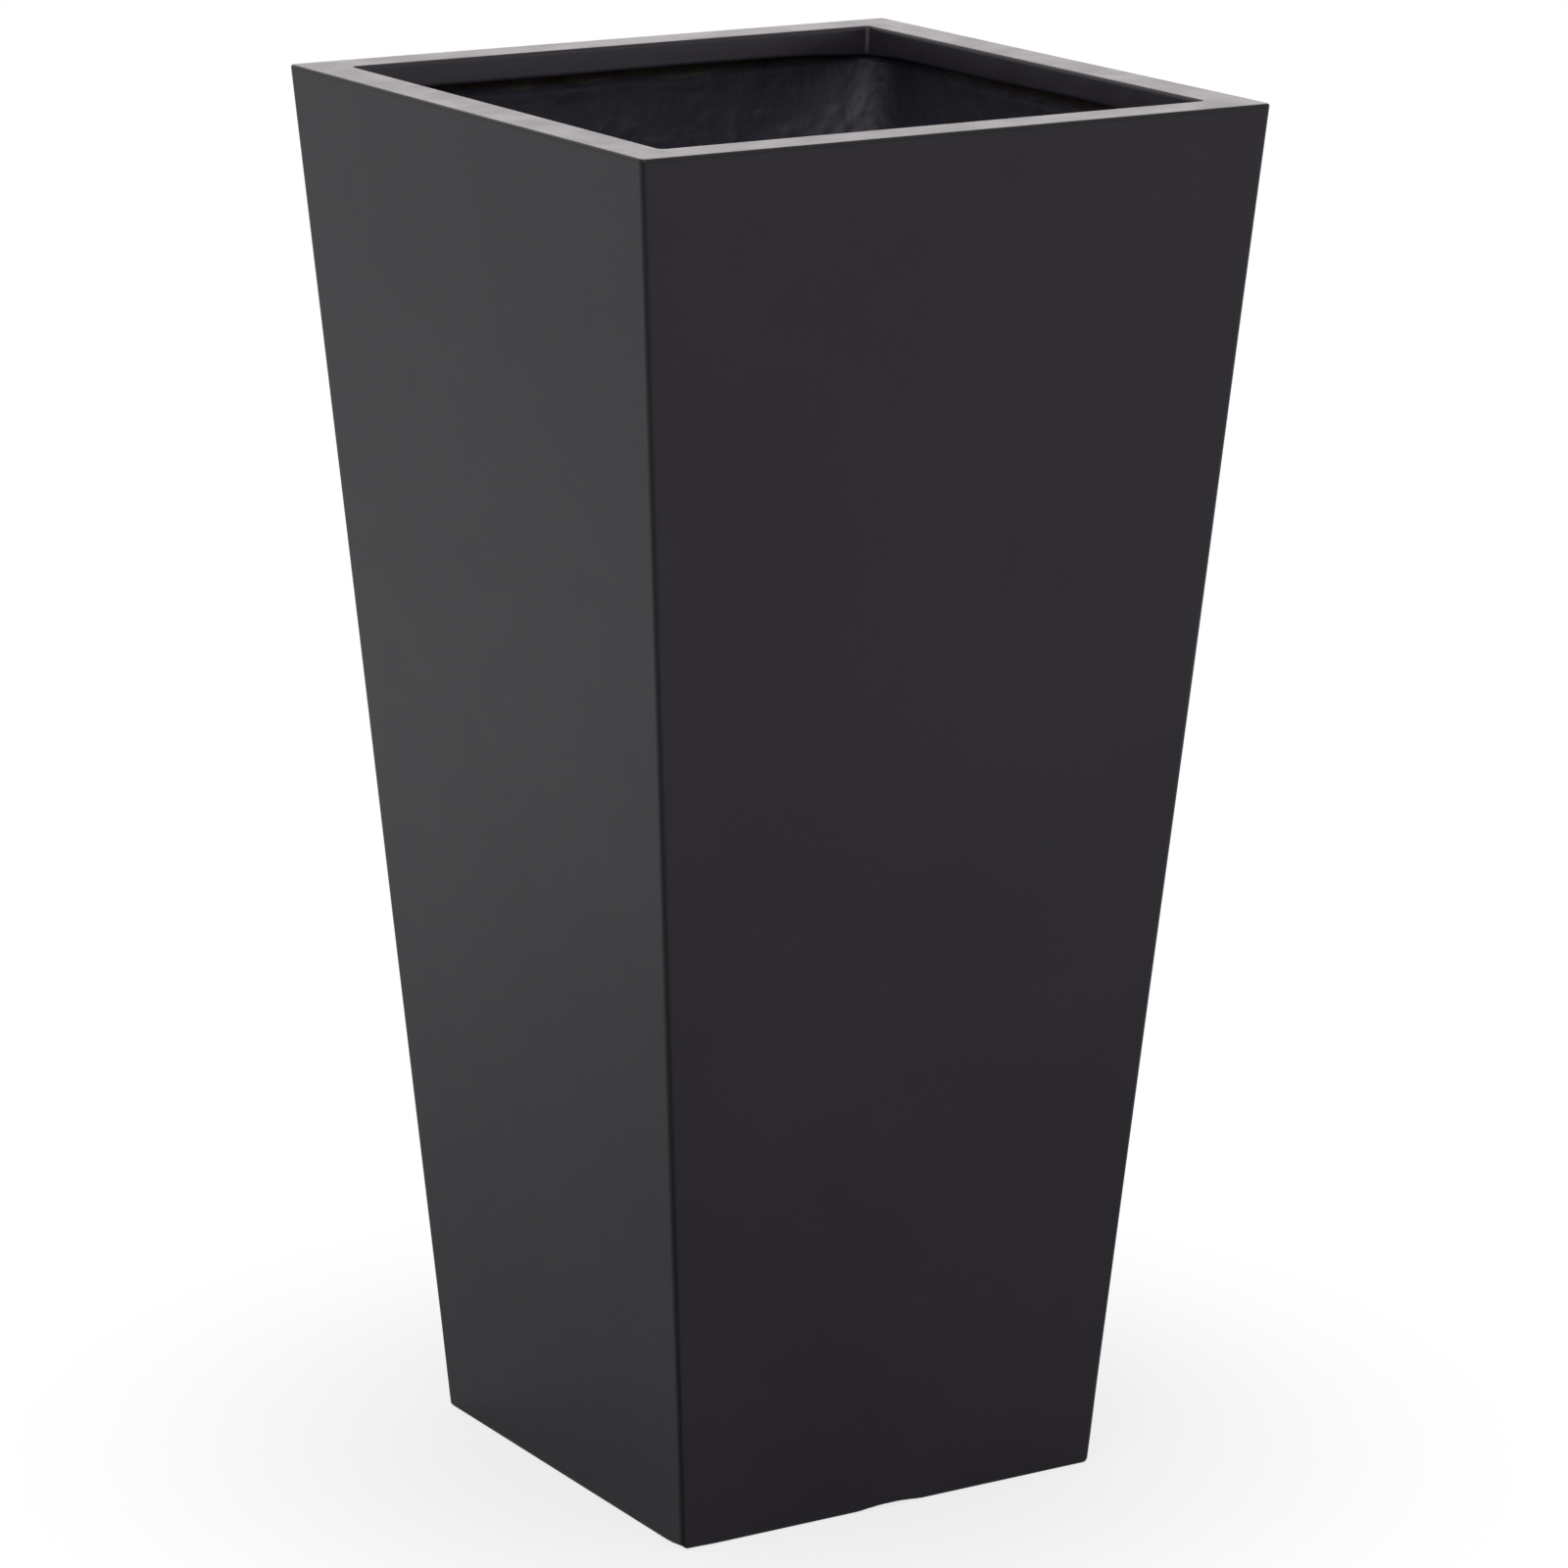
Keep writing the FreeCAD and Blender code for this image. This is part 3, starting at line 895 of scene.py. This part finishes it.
    def build(self, finish: Material) -> Piece:
        """Makes the shell's piece and dresses it.

        Args:
            finish: Its material.

        Returns:
            The piece.
        """
        piece = wrapped_object("painted_shell", self.surface())
        # stores where each arris carries its painted shade
        point_values(piece, "arris_shade", self.arris_shade())
        return install(piece, Body.PLANTER, Slot.PAINTED_SHELL, finish, "outer_shell")


# ---------------------------------------------------------------- the inside


@dataclass(frozen=True)
class Sheet:
    """The grids of one sheet of mat, each as rows x columns x 3.

    The smooth inside is without its relief, inward holds unit directions towards the middle, back is the
    hidden face, and drop is how far under the lip the paint stops, as rows x columns.
    """

    smooth: Grid
    inward: Grid
    back: Grid
    drop: Grid

    def turned(self, turns: int) -> "Sheet":
        """The same sheet, quarter turned about +Z."""
        grids = (quarter_turned(grid, turns) for grid in (self.smooth, self.inward, self.back))
        return Sheet(*grids, self.drop)


@dataclass(frozen=True)
class HandLaidForm:
    """The rough paint and glass: round lumps, upright runs, grit, and the build-up in the corners.

    Each is a height in metres times noise with the spacing of its cell. The lumps are the noise's part above
    lump_start, squared, the runs are stretched upwards and the grit is the smallest. The slabs read the
    lumps' lattice from slab_shift away. The build-up has folds, which lean by the cosine and sine in slant.
    """

    lump_cell: Place = (0.009, 0.009, 0.011)
    slab_cell: Place = (0.055, 0.055, 0.080)
    run_cell: Place = (0.0065, 0.0065, 0.040)
    grit_cell: Place = (0.0042, 0.0042, 0.0042)
    fold_cell: Place = (0.0058, 0.019, 1.0)
    slant: Range = (0.82, 0.57)
    lump_start: float = 0.1
    slab_shift: float = 1.7
    lump: float = 0.0015
    corner_lump: float = 0.0013
    slab: float = 0.0006
    run: float = 0.00016
    grit: float = 0.00032
    build_up: float = 0.0042
    fold: float = 0.0013


@dataclass(frozen=True)
class PaintEdge:
    """Where the paint stops under the lip. Its levels are metres above the line where it stops.

    The line's drop wanders and ripples by those shares of it. Over bare the laminate loses its paint, and
    over sunk it falls back to its bare thickness. The paint ends in a bead, with a paler seam above it.
    """

    wander: float = 0.22
    wander_shift: float = 0.3
    wander_cell: Place = (0.040, 0.040, 1.0)
    ripple: float = 0.07
    ripple_cell: Place = (0.010, 0.010, 1.0)
    bare: Range = (-0.0006, 0.0012)
    bare_thickness: float = 0.0008
    bare_smoothing: float = 0.6
    sunk: Range = (-0.004, 0.0015)
    bead: float = 0.0003
    bead_level: float = -0.0045
    bead_reach: float = 0.003
    seam_level: float = 0.0002
    seam_reach: float = 0.0011


@dataclass(frozen=True)
class LayUp:
    """The hand-laid inside: how far its face stands in from the shell, and where its paint stops.

    A corner's mat laps over the wall before it by lap, and by wider_lap more from lap_fall below the lip.
    Over the wall past it, it laps by short_lap, and the change lies over the ridge. Its paint is lighter
    there, a painted highlight, and loses highlight_loss of that over highlight_ridge. The rows run to
    row_ends and the lip, row_counts in each part.
    """

    taper: Taper
    form: HandLaidForm = HandLaidForm()
    edge: PaintEdge = PaintEdge()
    mat: float = 0.0024
    leg: float = 0.026
    corner_drop: float = 0.0054
    lap: float = 0.026
    wider_lap: float = 0.034
    lap_fall: float = 0.06
    short_lap: float = 0.014
    ridge: Range = (-0.020, 0.004)
    highlight_ridge: Range = (-0.006, 0.006)
    highlight_loss: float = 0.8
    row_ends: Range = (0.55, 0.72)
    row_counts: tuple[int, int, int] = (70, 62, 62)
    lumps: LatticeNoise = field(default_factory=lambda: LatticeNoise(21))
    runs: LatticeNoise = field(default_factory=lambda: LatticeNoise(22))
    grit: LatticeNoise = field(default_factory=lambda: LatticeNoise(23))

    def past(self, points: Grid) -> Grid:
        """How far past an upright corner the points are, clockwise from above, and below 0 before it."""
        x, y = points[..., 0], points[..., 1]
        return np.sign(x * y) * (np.abs(x) - np.abs(y))

    def nearness(self, points: Grid) -> Grid:
        """How near the points are to an upright corner: a bell curve of the way out to it.

        Args:
            points: Places on the smooth inside.

        Returns:
            1 in the corner, less away from it.
        """
        level = points[..., 2]
        out = self.taper.bore(level) - np.min(np.abs(points[..., :2]), axis=-1)
        lap = self.lap + self.wider_lap * ease(self.taper.lip_level - level, 0.0, self.lap_fall)
        reach = lap + (self.short_lap - lap) * ease(self.past(points), *self.ridge)
        return bell(out, 0.0, reach)

    def relief(self, points: Grid) -> Grid:
        """Height of the rough paint and glass.

        Args:
            points: Places on the smooth inside.

        Returns:
            Metres towards the middle of the planter.
        """
        form = self.form
        lump = np.clip(self.lumps(points, form.lump_cell) - form.lump_start, 0.0, 1.0) ** 2
        slab = self.lumps(points + form.slab_shift, form.slab_cell)
        run = self.runs(points, form.run_cell)
        grit = self.grit(points, form.grit_cell)
        level, past = points[..., 2], self.past(points)
        cosine, sine = form.slant
        slanted = np.stack([cosine * past - sine * level, sine * past + cosine * level, 0.0 * past], axis=-1)
        fold = self.runs(slanted, form.fold_cell)
        corner = self.nearness(points)
        lumpy = (form.lump + form.corner_lump * corner) * lump
        laid = lumpy + form.slab * slab + form.run * run + form.grit * grit
        return laid + corner * (form.build_up + form.fold * fold)

    def paint_line(self, points: Grid, drop: Grid) -> Grid:
        """Level where the paint stops: the lip's level less a drop that wanders.

        Args:
            points: Places on the inside.
            drop: The plain drop there.

        Returns:
            Levels.
        """
        plan = points * (1.0, 1.0, 0.0)
        wander = self.runs(plan + self.edge.wander_shift, self.edge.wander_cell)
        ripple = self.grit(plan, self.edge.ripple_cell)
        return self.taper.lip_level - drop * (1.0 + self.edge.wander * wander + self.edge.ripple * ripple)

    def levels(self) -> Grid:
        """Rows from the floor mat to the lip, closer together near the lip.

        Returns:
            Levels, as rows x 1.
        """
        ends = [self.taper.mat_level, *self.row_ends, self.taper.lip_level]
        spans = zip(ends[:-1], ends[1:], self.row_counts)
        rows = [np.linspace(low, high, count)[:-1] for low, high, count in spans]
        return np.concatenate([*rows, ends[-1:]])[:, None]

    def lay(self, node: str, sheet: Sheet, finish: Material) -> Piece:
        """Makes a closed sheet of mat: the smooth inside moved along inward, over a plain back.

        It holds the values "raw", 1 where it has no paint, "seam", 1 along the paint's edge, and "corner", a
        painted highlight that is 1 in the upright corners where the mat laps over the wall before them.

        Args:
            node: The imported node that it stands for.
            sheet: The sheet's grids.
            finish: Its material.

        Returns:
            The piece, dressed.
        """
        edge, smooth = self.edge, sheet.smooth
        above = smooth[..., 2] - self.paint_line(smooth, sheet.drop)
        raw = ease(above, *edge.bare)
        sunk = (self.mat - edge.bare_thickness) * ease(above, *edge.sunk)
        bead = edge.bead * bell(above, edge.bead_level, edge.bead_reach)
        height = self.relief(smooth) * (1.0 - edge.bare_smoothing * raw) - sunk + bead
        front = smooth + sheet.inward * height[..., None]
        piece = mesh_object(f"laid_{node}", *closed_sheet(front, sheet.back))
        seam = bell(above, edge.seam_level, edge.seam_reach)
        # the corner's painted highlight fades out past the corner line
        before = 1.0 - self.highlight_loss * ease(self.past(smooth), *self.highlight_ridge)
        for label, values in (("raw", raw), ("seam", seam), ("corner", self.nearness(smooth) * before)):
            point_values(piece, label, np.stack([values, values]))
        return install(piece, Body.PLANTER, Slot.BACKING_LAMINATE, finish, node)


@dataclass(frozen=True)
class WallMat:
    """One wall's glass mat, from the floor mat to the lip, between two corner strips.

    Its paint stops middle_drop under the lip at its middle, and blends to the corners' drop over blend, as
    shares of the way from its middle to its edge.
    """

    lay_up: LayUp
    side: Side
    middle_drop: float
    blend: Range = (0.3, 0.8)
    columns: int = 140
    hold: float = 0.0004

    def build(self, finish: Material) -> Piece:
        """Makes the mat on the front wall, turns it to its side and dresses it.

        Args:
            finish: Its material.

        Returns:
            The piece.
        """
        level = self.lay_up.levels()
        across = 1.0 - 2.0 * held_span(self.columns, self.hold)
        face = self.lay_up.taper.bore(level)
        x = across * (face - self.lay_up.leg)
        back = np.stack(np.broadcast_arrays(x, -face, level), -1)
        inward = np.broadcast_to(np.array([0.0, 1.0, 0.0]), back.shape)
        share = 1.0 - ease(np.abs(across), *self.blend)
        drop = self.lay_up.corner_drop + (self.middle_drop - self.lay_up.corner_drop) * share
        smooth = back + inward * self.lay_up.mat
        sheet = Sheet(smooth, inward, back, np.broadcast_to(drop, x.shape)).turned(self.side.value)
        return self.lay_up.lay(f"wall_mat_{self.side.name.lower()}", sheet, finish)


@dataclass(frozen=True)
class CornerStrip:
    """The mat that closes one inside corner with a broad sweep: a quarter arc inside, square behind.

    Its back runs along one wall, round the bore's snug corner in two short steps between the knots, and
    along the other wall. A knot is a share of the way across the strip.
    """

    lay_up: LayUp
    corner: Corner
    columns: int = 30
    hold: float = 0.0025
    knots: tuple[float, ...] = (0.0, 0.44, 0.5, 0.56, 1.0)
    snug_share: float = 0.3

    def build(self, finish: Material) -> Piece:
        """Makes the strip in the front left corner, turns it to its corner and dresses it.

        Args:
            finish: Its material.

        Returns:
            The piece.
        """
        level = self.lay_up.levels()
        share = held_span(self.columns, self.hold)[None, :]
        leg, snug = self.lay_up.leg, self.lay_up.taper.bore_corner_radius
        sweep, near = leg - self.lay_up.mat, self.snug_share * snug
        corner = -self.lay_up.taper.bore(level)
        angle = share * math.pi / 2.0
        x = corner + leg - sweep * np.sin(angle)
        y = corner + leg - sweep * np.cos(angle)
        smooth = np.stack(np.broadcast_arrays(x, y, level), -1)
        inward = np.stack(np.broadcast_arrays(np.sin(angle), np.cos(angle), 0.0 * level), -1)
        back_x = corner + np.interp(share, self.knots, [leg, snug, near, 0.0, 0.0])
        back_y = corner + np.interp(share, self.knots, [0.0, 0.0, near, snug, leg])
        back = np.stack(np.broadcast_arrays(back_x, back_y, level), -1)
        drop = np.full(x.shape, self.lay_up.corner_drop)
        sheet = Sheet(smooth, inward, back, drop).turned(self.corner.value)
        return self.lay_up.lay(f"corner_strip_{self.corner.name.lower()}", sheet, finish)


@dataclass(frozen=True)
class FloorMat:
    """The glass mat over the floor, flat round the plug's seat and coved up where it meets the walls."""

    lay_up: LayUp
    path: SquarePath = SquarePath(per_side=60, per_corner=7)
    seat_radius: float = 0.019
    seat_fade: float = 0.02
    cove: float = 0.007
    cove_width: float = 0.014

    def build(self, finish: Material) -> Piece:
        """Carries the mat's outline round the drain hole, gives its top relief and cove, and dresses it.

        Args:
            finish: Its material.

        Returns:
            The piece.
        """
        taper, mat = self.lay_up.taper, self.lay_up.mat
        under, over, drain, snug = taper.floor, taper.mat_level, taper.drain_radius, taper.bore_corner_radius
        low, high = taper.bore(under), taper.bore(over)
        outline = Profile()
        outline.run((drain, under, drain, 1), (low, under, snug), 6)
        outline.run((low, under, snug), (high, over, snug), 1)
        outline.run((high, over, snug), (drain, over, drain, 1), 52)
        outline.run((drain, over, drain, 1), (drain, under, drain, 1), 1)
        points, _ = self.path.carry(outline.stations())
        top = points[..., 2] > (under + over) / 2.0
        from_drain = np.hypot(points[..., 0], points[..., 1])
        from_wall = high - np.max(np.abs(points[..., :2]), axis=-1)
        beyond_seat = ease(from_drain, self.seat_radius, self.seat_radius + self.seat_fade)
        rough = self.lay_up.relief(points) * beyond_seat
        rise = self.cove * (1.0 - ease(from_wall, mat, mat + self.cove_width)) ** 2
        points[..., 2] += np.where(top, rough + rise, 0.0)
        piece = wrapped_object("laid_floor_mat", points)
        for label in ("raw", "seam", "corner"):
            point_values(piece, label, np.zeros(points.shape[:2]))
        return install(piece, Body.PLANTER, Slot.BACKING_LAMINATE, finish, "floor_mat")


@dataclass(frozen=True)
class RimFiller:
    """The ring of filler in the channel behind the lip, sagging a little at its open lower face."""

    shell: OuterShell
    path: SquarePath = SquarePath(per_side=70, per_corner=6)
    sag: float = 0.0011
    unevenness: float = 0.6
    cell: Place = (0.02, 0.02, 0.02)

    def build(self, finish: Material) -> Piece:
        """Carries the ring's outline round, sags its lower face by noise and dresses it.

        The sag is a parabola across the face: 4s(1 - s), where s is the share of the way across.

        Args:
            finish: Its material.

        Returns:
            The piece.
        """
        shell, taper = self.shell, self.shell.taper
        low, high = taper.lip_level, taper.height - shell.rim_thickness
        back, snug, lip = shell.lip_wall, taper.bore_corner_radius, shell.mouth_corner_radius
        outline = Profile()
        outline.run((shell.mouth(low) + back, low, lip), (taper.bore(low), low, snug), 8)
        outline.run((taper.bore(low), low, snug), (taper.bore(high), high, snug), 2)
        outline.run((taper.bore(high), high, snug), (shell.mouth(high) + back, high, lip), 2)
        outline.run((shell.mouth(high) + back, high, lip), (shell.mouth(low) + back, low, lip), 2)
        stations = outline.stations()
        points, _ = self.path.carry(stations)
        width = taper.bore(low) - shell.mouth(low) - back
        share = (stations[:, 0] - shell.mouth(low) - back) / width
        lower_face = stations[:, 1] <= low + shell.skin
        swell = np.where(lower_face, np.clip(4.0 * share * (1.0 - share), 0.0, 1.0), 0.0)
        noise = LatticeNoise(31)(points, self.cell)
        points[..., 2] -= self.sag * swell[:, None] * (1.0 + self.unevenness * noise)
        piece = wrapped_object("packed_filler", points)
        return install(piece, Body.PLANTER, Slot.RAW_FILLER, finish, "rim_filler")


# ---------------------------------------------------------------- the drain plug


@dataclass(frozen=True)
class DrainPlug:
    """The rubber plug: a shank, a flange that rests on the floor mat and a knob to pull, turned about +Z.

    Its nose narrows to nose_share of the shank over nose_rise of the shank's radius. Each corner of its
    section is softened over soft, or over edge_share of an edge that is short.
    """

    taper: Taper
    shank_radius: float = 0.0107
    nose_level: float = 0.0002
    nose_share: float = 0.8
    nose_rise: float = 0.2
    flange_radius: float = 0.017
    flange_thickness: float = 0.0025
    dome: float = 0.0025
    stem_radius: float = 0.004
    knob_radius: float = 0.007
    pull_height: float = 0.011
    knob_thickness: float = 0.0045
    soft: float = 0.0007
    edge_share: float = 0.4
    around: int = 72

    def outline(self) -> Grid:
        """The half section's corners, from the middle of the nose to the middle of the knob.

        Returns:
            Radius and level of each corner.
        """
        seat = self.taper.mat_level
        dome = seat + self.flange_thickness + self.dome
        top = dome + self.pull_height
        knob = top - self.knob_thickness
        return np.array([
            (0.0, self.nose_level),
            (self.nose_share * self.shank_radius, self.nose_level),
            (self.shank_radius, self.nose_level + self.nose_rise * self.shank_radius),
            (self.shank_radius, seat),
            (self.flange_radius, seat),
            (self.flange_radius, seat + self.flange_thickness),
            (self.stem_radius, dome),
            (self.stem_radius, knob),
            (self.knob_radius, knob),
            (self.knob_radius, top),
            (0.0, top),
        ])

    def step(self, start: Grid, end: Grid) -> Grid:
        """Points a short way from each start towards its end."""
        span = np.linalg.norm(end - start, axis=1)[:, None]
        return start + (end - start) / span * np.minimum(self.soft, self.edge_share * span)

    def softened(self) -> Grid:
        """The half section with each corner swapped for a short curve.

        A corner's curve runs from a point before it to a point after it, as (1-t)^2 before + 2t(1-t) corner
        + t^2 after.

        Returns:
            Stations of radius and level, without the two on the axis.
        """
        corners = self.outline()
        at = corners[1:-1]
        start, end = self.step(at, corners[:-2])[:, None], self.step(at, corners[2:])[:, None]
        t = np.linspace(0.0, 1.0, 5)[None, :, None]
        curve = (1 - t) ** 2 * start + 2 * t * (1 - t) * at[:, None] + t**2 * end
        return curve.reshape(-1, 2)

    def build(self, finish: Material) -> Piece:
        """Turns the softened section about +Z, closes it on the axis with fans and dresses it.

        Args:
            finish: Its material.

        Returns:
            The piece.
        """
        section, corners = self.softened(), self.outline()
        turn = np.arange(self.around) * 2.0 * math.pi / self.around
        plan = section[:, 0, None, None] * np.stack([np.cos(turn), np.sin(turn)], -1)
        level = np.broadcast_to(section[:, 1, None, None], plan.shape[:2] + (1,))
        points = np.concatenate([plan, level], -1)
        rows, columns = points.shape[:2]
        poles = np.array([[0.0, 0.0, corners[0, 1]], [0.0, 0.0, corners[-1, 1]]])
        number = np.arange(columns)
        after = (number + 1) % columns
        low, high = np.full(columns, rows * columns), np.full(columns, rows * columns + 1)
        last = (rows - 1) * columns
        fans = [*np.stack([after, number, low], -1), *np.stack([last + number, last + after, high], -1)]
        faces = [*grid_faces(rows, columns, wrap_columns=True), *fans]
        piece = mesh_object("rubber_plug", np.concatenate([points.reshape(-1, 3), poles]), faces)
        return install(piece, Body.DRAIN_PLUG, Slot.RUBBER, finish, "drain_plug")


# ---------------------------------------------------------------- the studio


@dataclass(frozen=True)
class SoftLamp:
    """A soft rectangular lamp.

    Its place is its middle and its aim is the point that it faces. Its radiance is how bright its face is,
    where the white surroundings are 1.
    """

    name: str
    place: Place
    aim: Place
    size: Range
    radiance: float
    tint: Place = (1.0, 1.0, 1.0)

    def build(self) -> None:
        """Sets up the lamp. Its power is its radiance times pi times its area."""
        data = bpy.data.lights.new(self.name, "AREA")
        data.shape, data.size, data.size_y = "RECTANGLE", *self.size
        data.energy = self.radiance * math.pi * self.size[0] * self.size[1]
        data.color = self.tint
        lamp = bpy.data.objects.new(self.name, data)
        lamp.location = self.place
        lamp.rotation_mode = "QUATERNION"
        lamp.rotation_quaternion = (Vector(self.aim) - Vector(self.place)).to_track_quat("-Z", "Y")
        lamp.visible_camera = False
        bpy.context.scene.collection.objects.link(lamp)


@dataclass(frozen=True)
class Studio:
    """A pale floor, white surroundings, soft lamps and the camera.

    The floor turns to the surroundings' white away from the planter: from seen_near to 1 over seen_fade in
    view, and from 0 to mirrored_far over mirrored_fade in what the paint mirrors.
    """

    camera_place: Place = (-1.81229, -2.97099, 1.30747)
    azimuth: float = -31.5313
    elevation: float = 14.6752
    roll: float = 0.3064
    lens: float = 143.8806
    sensor: float = 36.0
    clip: Range = (0.05, 60.0)
    world_light: float = 0.52
    floor_colour: float = 0.54
    floor_level: float = -0.0002
    floor_radius: float = 9.0
    floor_sides: int = 96
    seen_near: float = 0.78
    seen_fade: Range = (0.12, 0.48)
    mirrored_far: float = 0.52
    mirrored_fade: Range = (0.35, 1.60)
    lamps: tuple[SoftLamp, ...] = (
        SoftLamp("overhead", (-0.4, -0.5, 3.0), (0.0, 0.0, 0.3), (2.4, 2.4), 1.4),
        SoftLamp("back panel", (1.55, 2.52, 2.05), (0.0, 0.0, 0.85), (3.0, 2.4), 0.56, (1.0, 0.84, 0.87)),
        SoftLamp("low panel", (2.00, -3.40, 1.15), (0.0, 0.0, 0.80), (2.2, 0.6), 1.4),
        SoftLamp("front panel", (-2.45, -2.75, 1.95), (0.0, 0.0, 0.80), (1.4, 0.95), 8.0),
    )

    def camera(self) -> None:
        """Sets the camera at the viewing place, turned by its azimuth, elevation and roll."""
        data = bpy.data.cameras.new("camera")
        data.lens, data.sensor_width = self.lens, self.sensor
        data.clip_start, data.clip_end = self.clip
        camera = bpy.data.objects.new("camera", data)
        a, e = math.radians(self.azimuth), math.radians(self.elevation)
        back = Vector((math.sin(a) * math.cos(e), -math.cos(a) * math.cos(e), math.sin(e)))
        roll = Quaternion((0, 0, 1), math.radians(self.roll))
        camera.rotation_mode = "QUATERNION"
        camera.rotation_quaternion = (-back).to_track_quat("-Z", "Y") @ roll
        camera.location = self.camera_place
        bpy.context.scene.collection.objects.link(camera)
        bpy.context.scene.camera = camera

    def rays(self, tree: Tree) -> tuple[Socket, Socket]:
        """Tells kinds of rays apart.

        Args:
            tree: The tree that asks.

        Returns:
            Two values: 1 for camera rays, and 1 for glossy and transmission rays.
        """
        path = tree.add("ShaderNodeLightPath").outputs
        mirrored = tree.maths("MAXIMUM", path["Is Glossy Ray"], path["Is Transmission Ray"])
        return path["Is Camera Ray"], mirrored

    def world(self) -> None:
        """White surroundings for what is seen, and a plain even light for the rest."""
        world = bpy.data.worlds.new("surroundings")
        world.use_nodes = True
        bpy.context.scene.world = world
        tree = Tree(world.node_tree)
        white = (1.0, 1.0, 1.0, 1.0)
        light = tree.add("ShaderNodeBackground", {"Color": white, "Strength": self.world_light})
        shown = tree.add("ShaderNodeBackground", {"Color": white, "Strength": 1.0})
        seen = tree.maths("MAXIMUM", *self.rays(tree))
        mixed = tree.add("ShaderNodeMixShader", {0: seen, 1: light.outputs[0], 2: shown.outputs[0]})
        tree.add("ShaderNodeOutputWorld", {"Surface": mixed.outputs[0]})

    def white_share(self, tree: Tree) -> Socket:
        """How much of the floor is the surroundings' white, by the kind of ray and the way from the planter.

        Args:
            tree: The floor material's tree.

        Returns:
            The share, from 0 to 1.
        """
        place = tree.add("ShaderNodeTexCoord").outputs["Object"]
        away = tree.add("ShaderNodeVectorMath", {0: place}, operation="LENGTH").outputs["Value"]
        fades = ((self.seen_fade, self.seen_near, 1.0), (self.mirrored_fade, 0.0, self.mirrored_far))
        shares = []
        for ray, ((start, end), near, far) in zip(self.rays(tree), fades):
            feeds = {"Value": away, "From Min": start, "From Max": end, "To Min": near, "To Max": far}
            fade = tree.add("ShaderNodeMapRange", feeds, interpolation_type="SMOOTHSTEP").outputs[0]
            shares.append(tree.maths("MULTIPLY", ray, fade))
        return tree.maths("ADD", *shares)

    def floor(self) -> None:
        """A wide pale disc just below the foot, which turns to white away from the planter."""
        angle = np.arange(self.floor_sides) * 2.0 * math.pi / self.floor_sides
        level = np.full(self.floor_sides, self.floor_level)
        rim = np.stack([self.floor_radius * np.cos(angle), self.floor_radius * np.sin(angle), level], -1)
        floor = mesh_object("floor", rim, [range(self.floor_sides)])
        material = bpy.data.materials.new("pale_floor")
        material.use_nodes = True
        tree = Tree(material.node_tree)
        matt = tree.add("ShaderNodeBsdfDiffuse", {"Color": (self.floor_colour,) * 3 + (1.0,)})
        white = tree.add("ShaderNodeEmission", {"Color": (1.0, 1.0, 1.0, 1.0), "Strength": 1.0})
        shaders = {0: self.white_share(tree), 1: matt.outputs[0], 2: white.outputs[0]}
        mixed = tree.add("ShaderNodeMixShader", shaders)
        tree.add("ShaderNodeOutputMaterial", {"Surface": mixed.outputs[0]})
        floor.data.materials.append(material)

    def build(self) -> None:
        """Sets up the whole studio."""
        bpy.context.scene.view_settings.view_transform = "Standard"
        self.camera()
        self.world()
        self.floor()
        for lamp in self.lamps:
            lamp.build()
        LOG.info("studio ready: %d lamps", len(self.lamps))


def main() -> None:
    """Builds the planter from the shell inwards, then the studio round it."""
    logging.basicConfig(level=logging.INFO, format="%(name)s: %(message)s")
    effects = Effects()
    paint = SatinPaint().material(effects)
    laminate = BrushedLaminate().material(effects)
    resin = RawResin().material(effects)
    rubber = PlainRubber().material(effects)
    taper = Taper()
    shell = OuterShell(taper)
    lay_up = LayUp(taper)
    middle_drops = {Side.FRONT: 0.0100, Side.RIGHT: 0.0122, Side.BACK: 0.0086, Side.LEFT: 0.0095}
    shell.build(paint)
    RimFiller(shell).build(resin)
    FloorMat(lay_up).build(laminate)
    for side, middle_drop in middle_drops.items():
        WallMat(lay_up, side, middle_drop).build(laminate)
    for corner in Corner:
        CornerStrip(lay_up, corner).build(laminate)
    DrainPlug(taper).build(rubber)
    Studio().build()


if __name__ == "__main__":
    main()
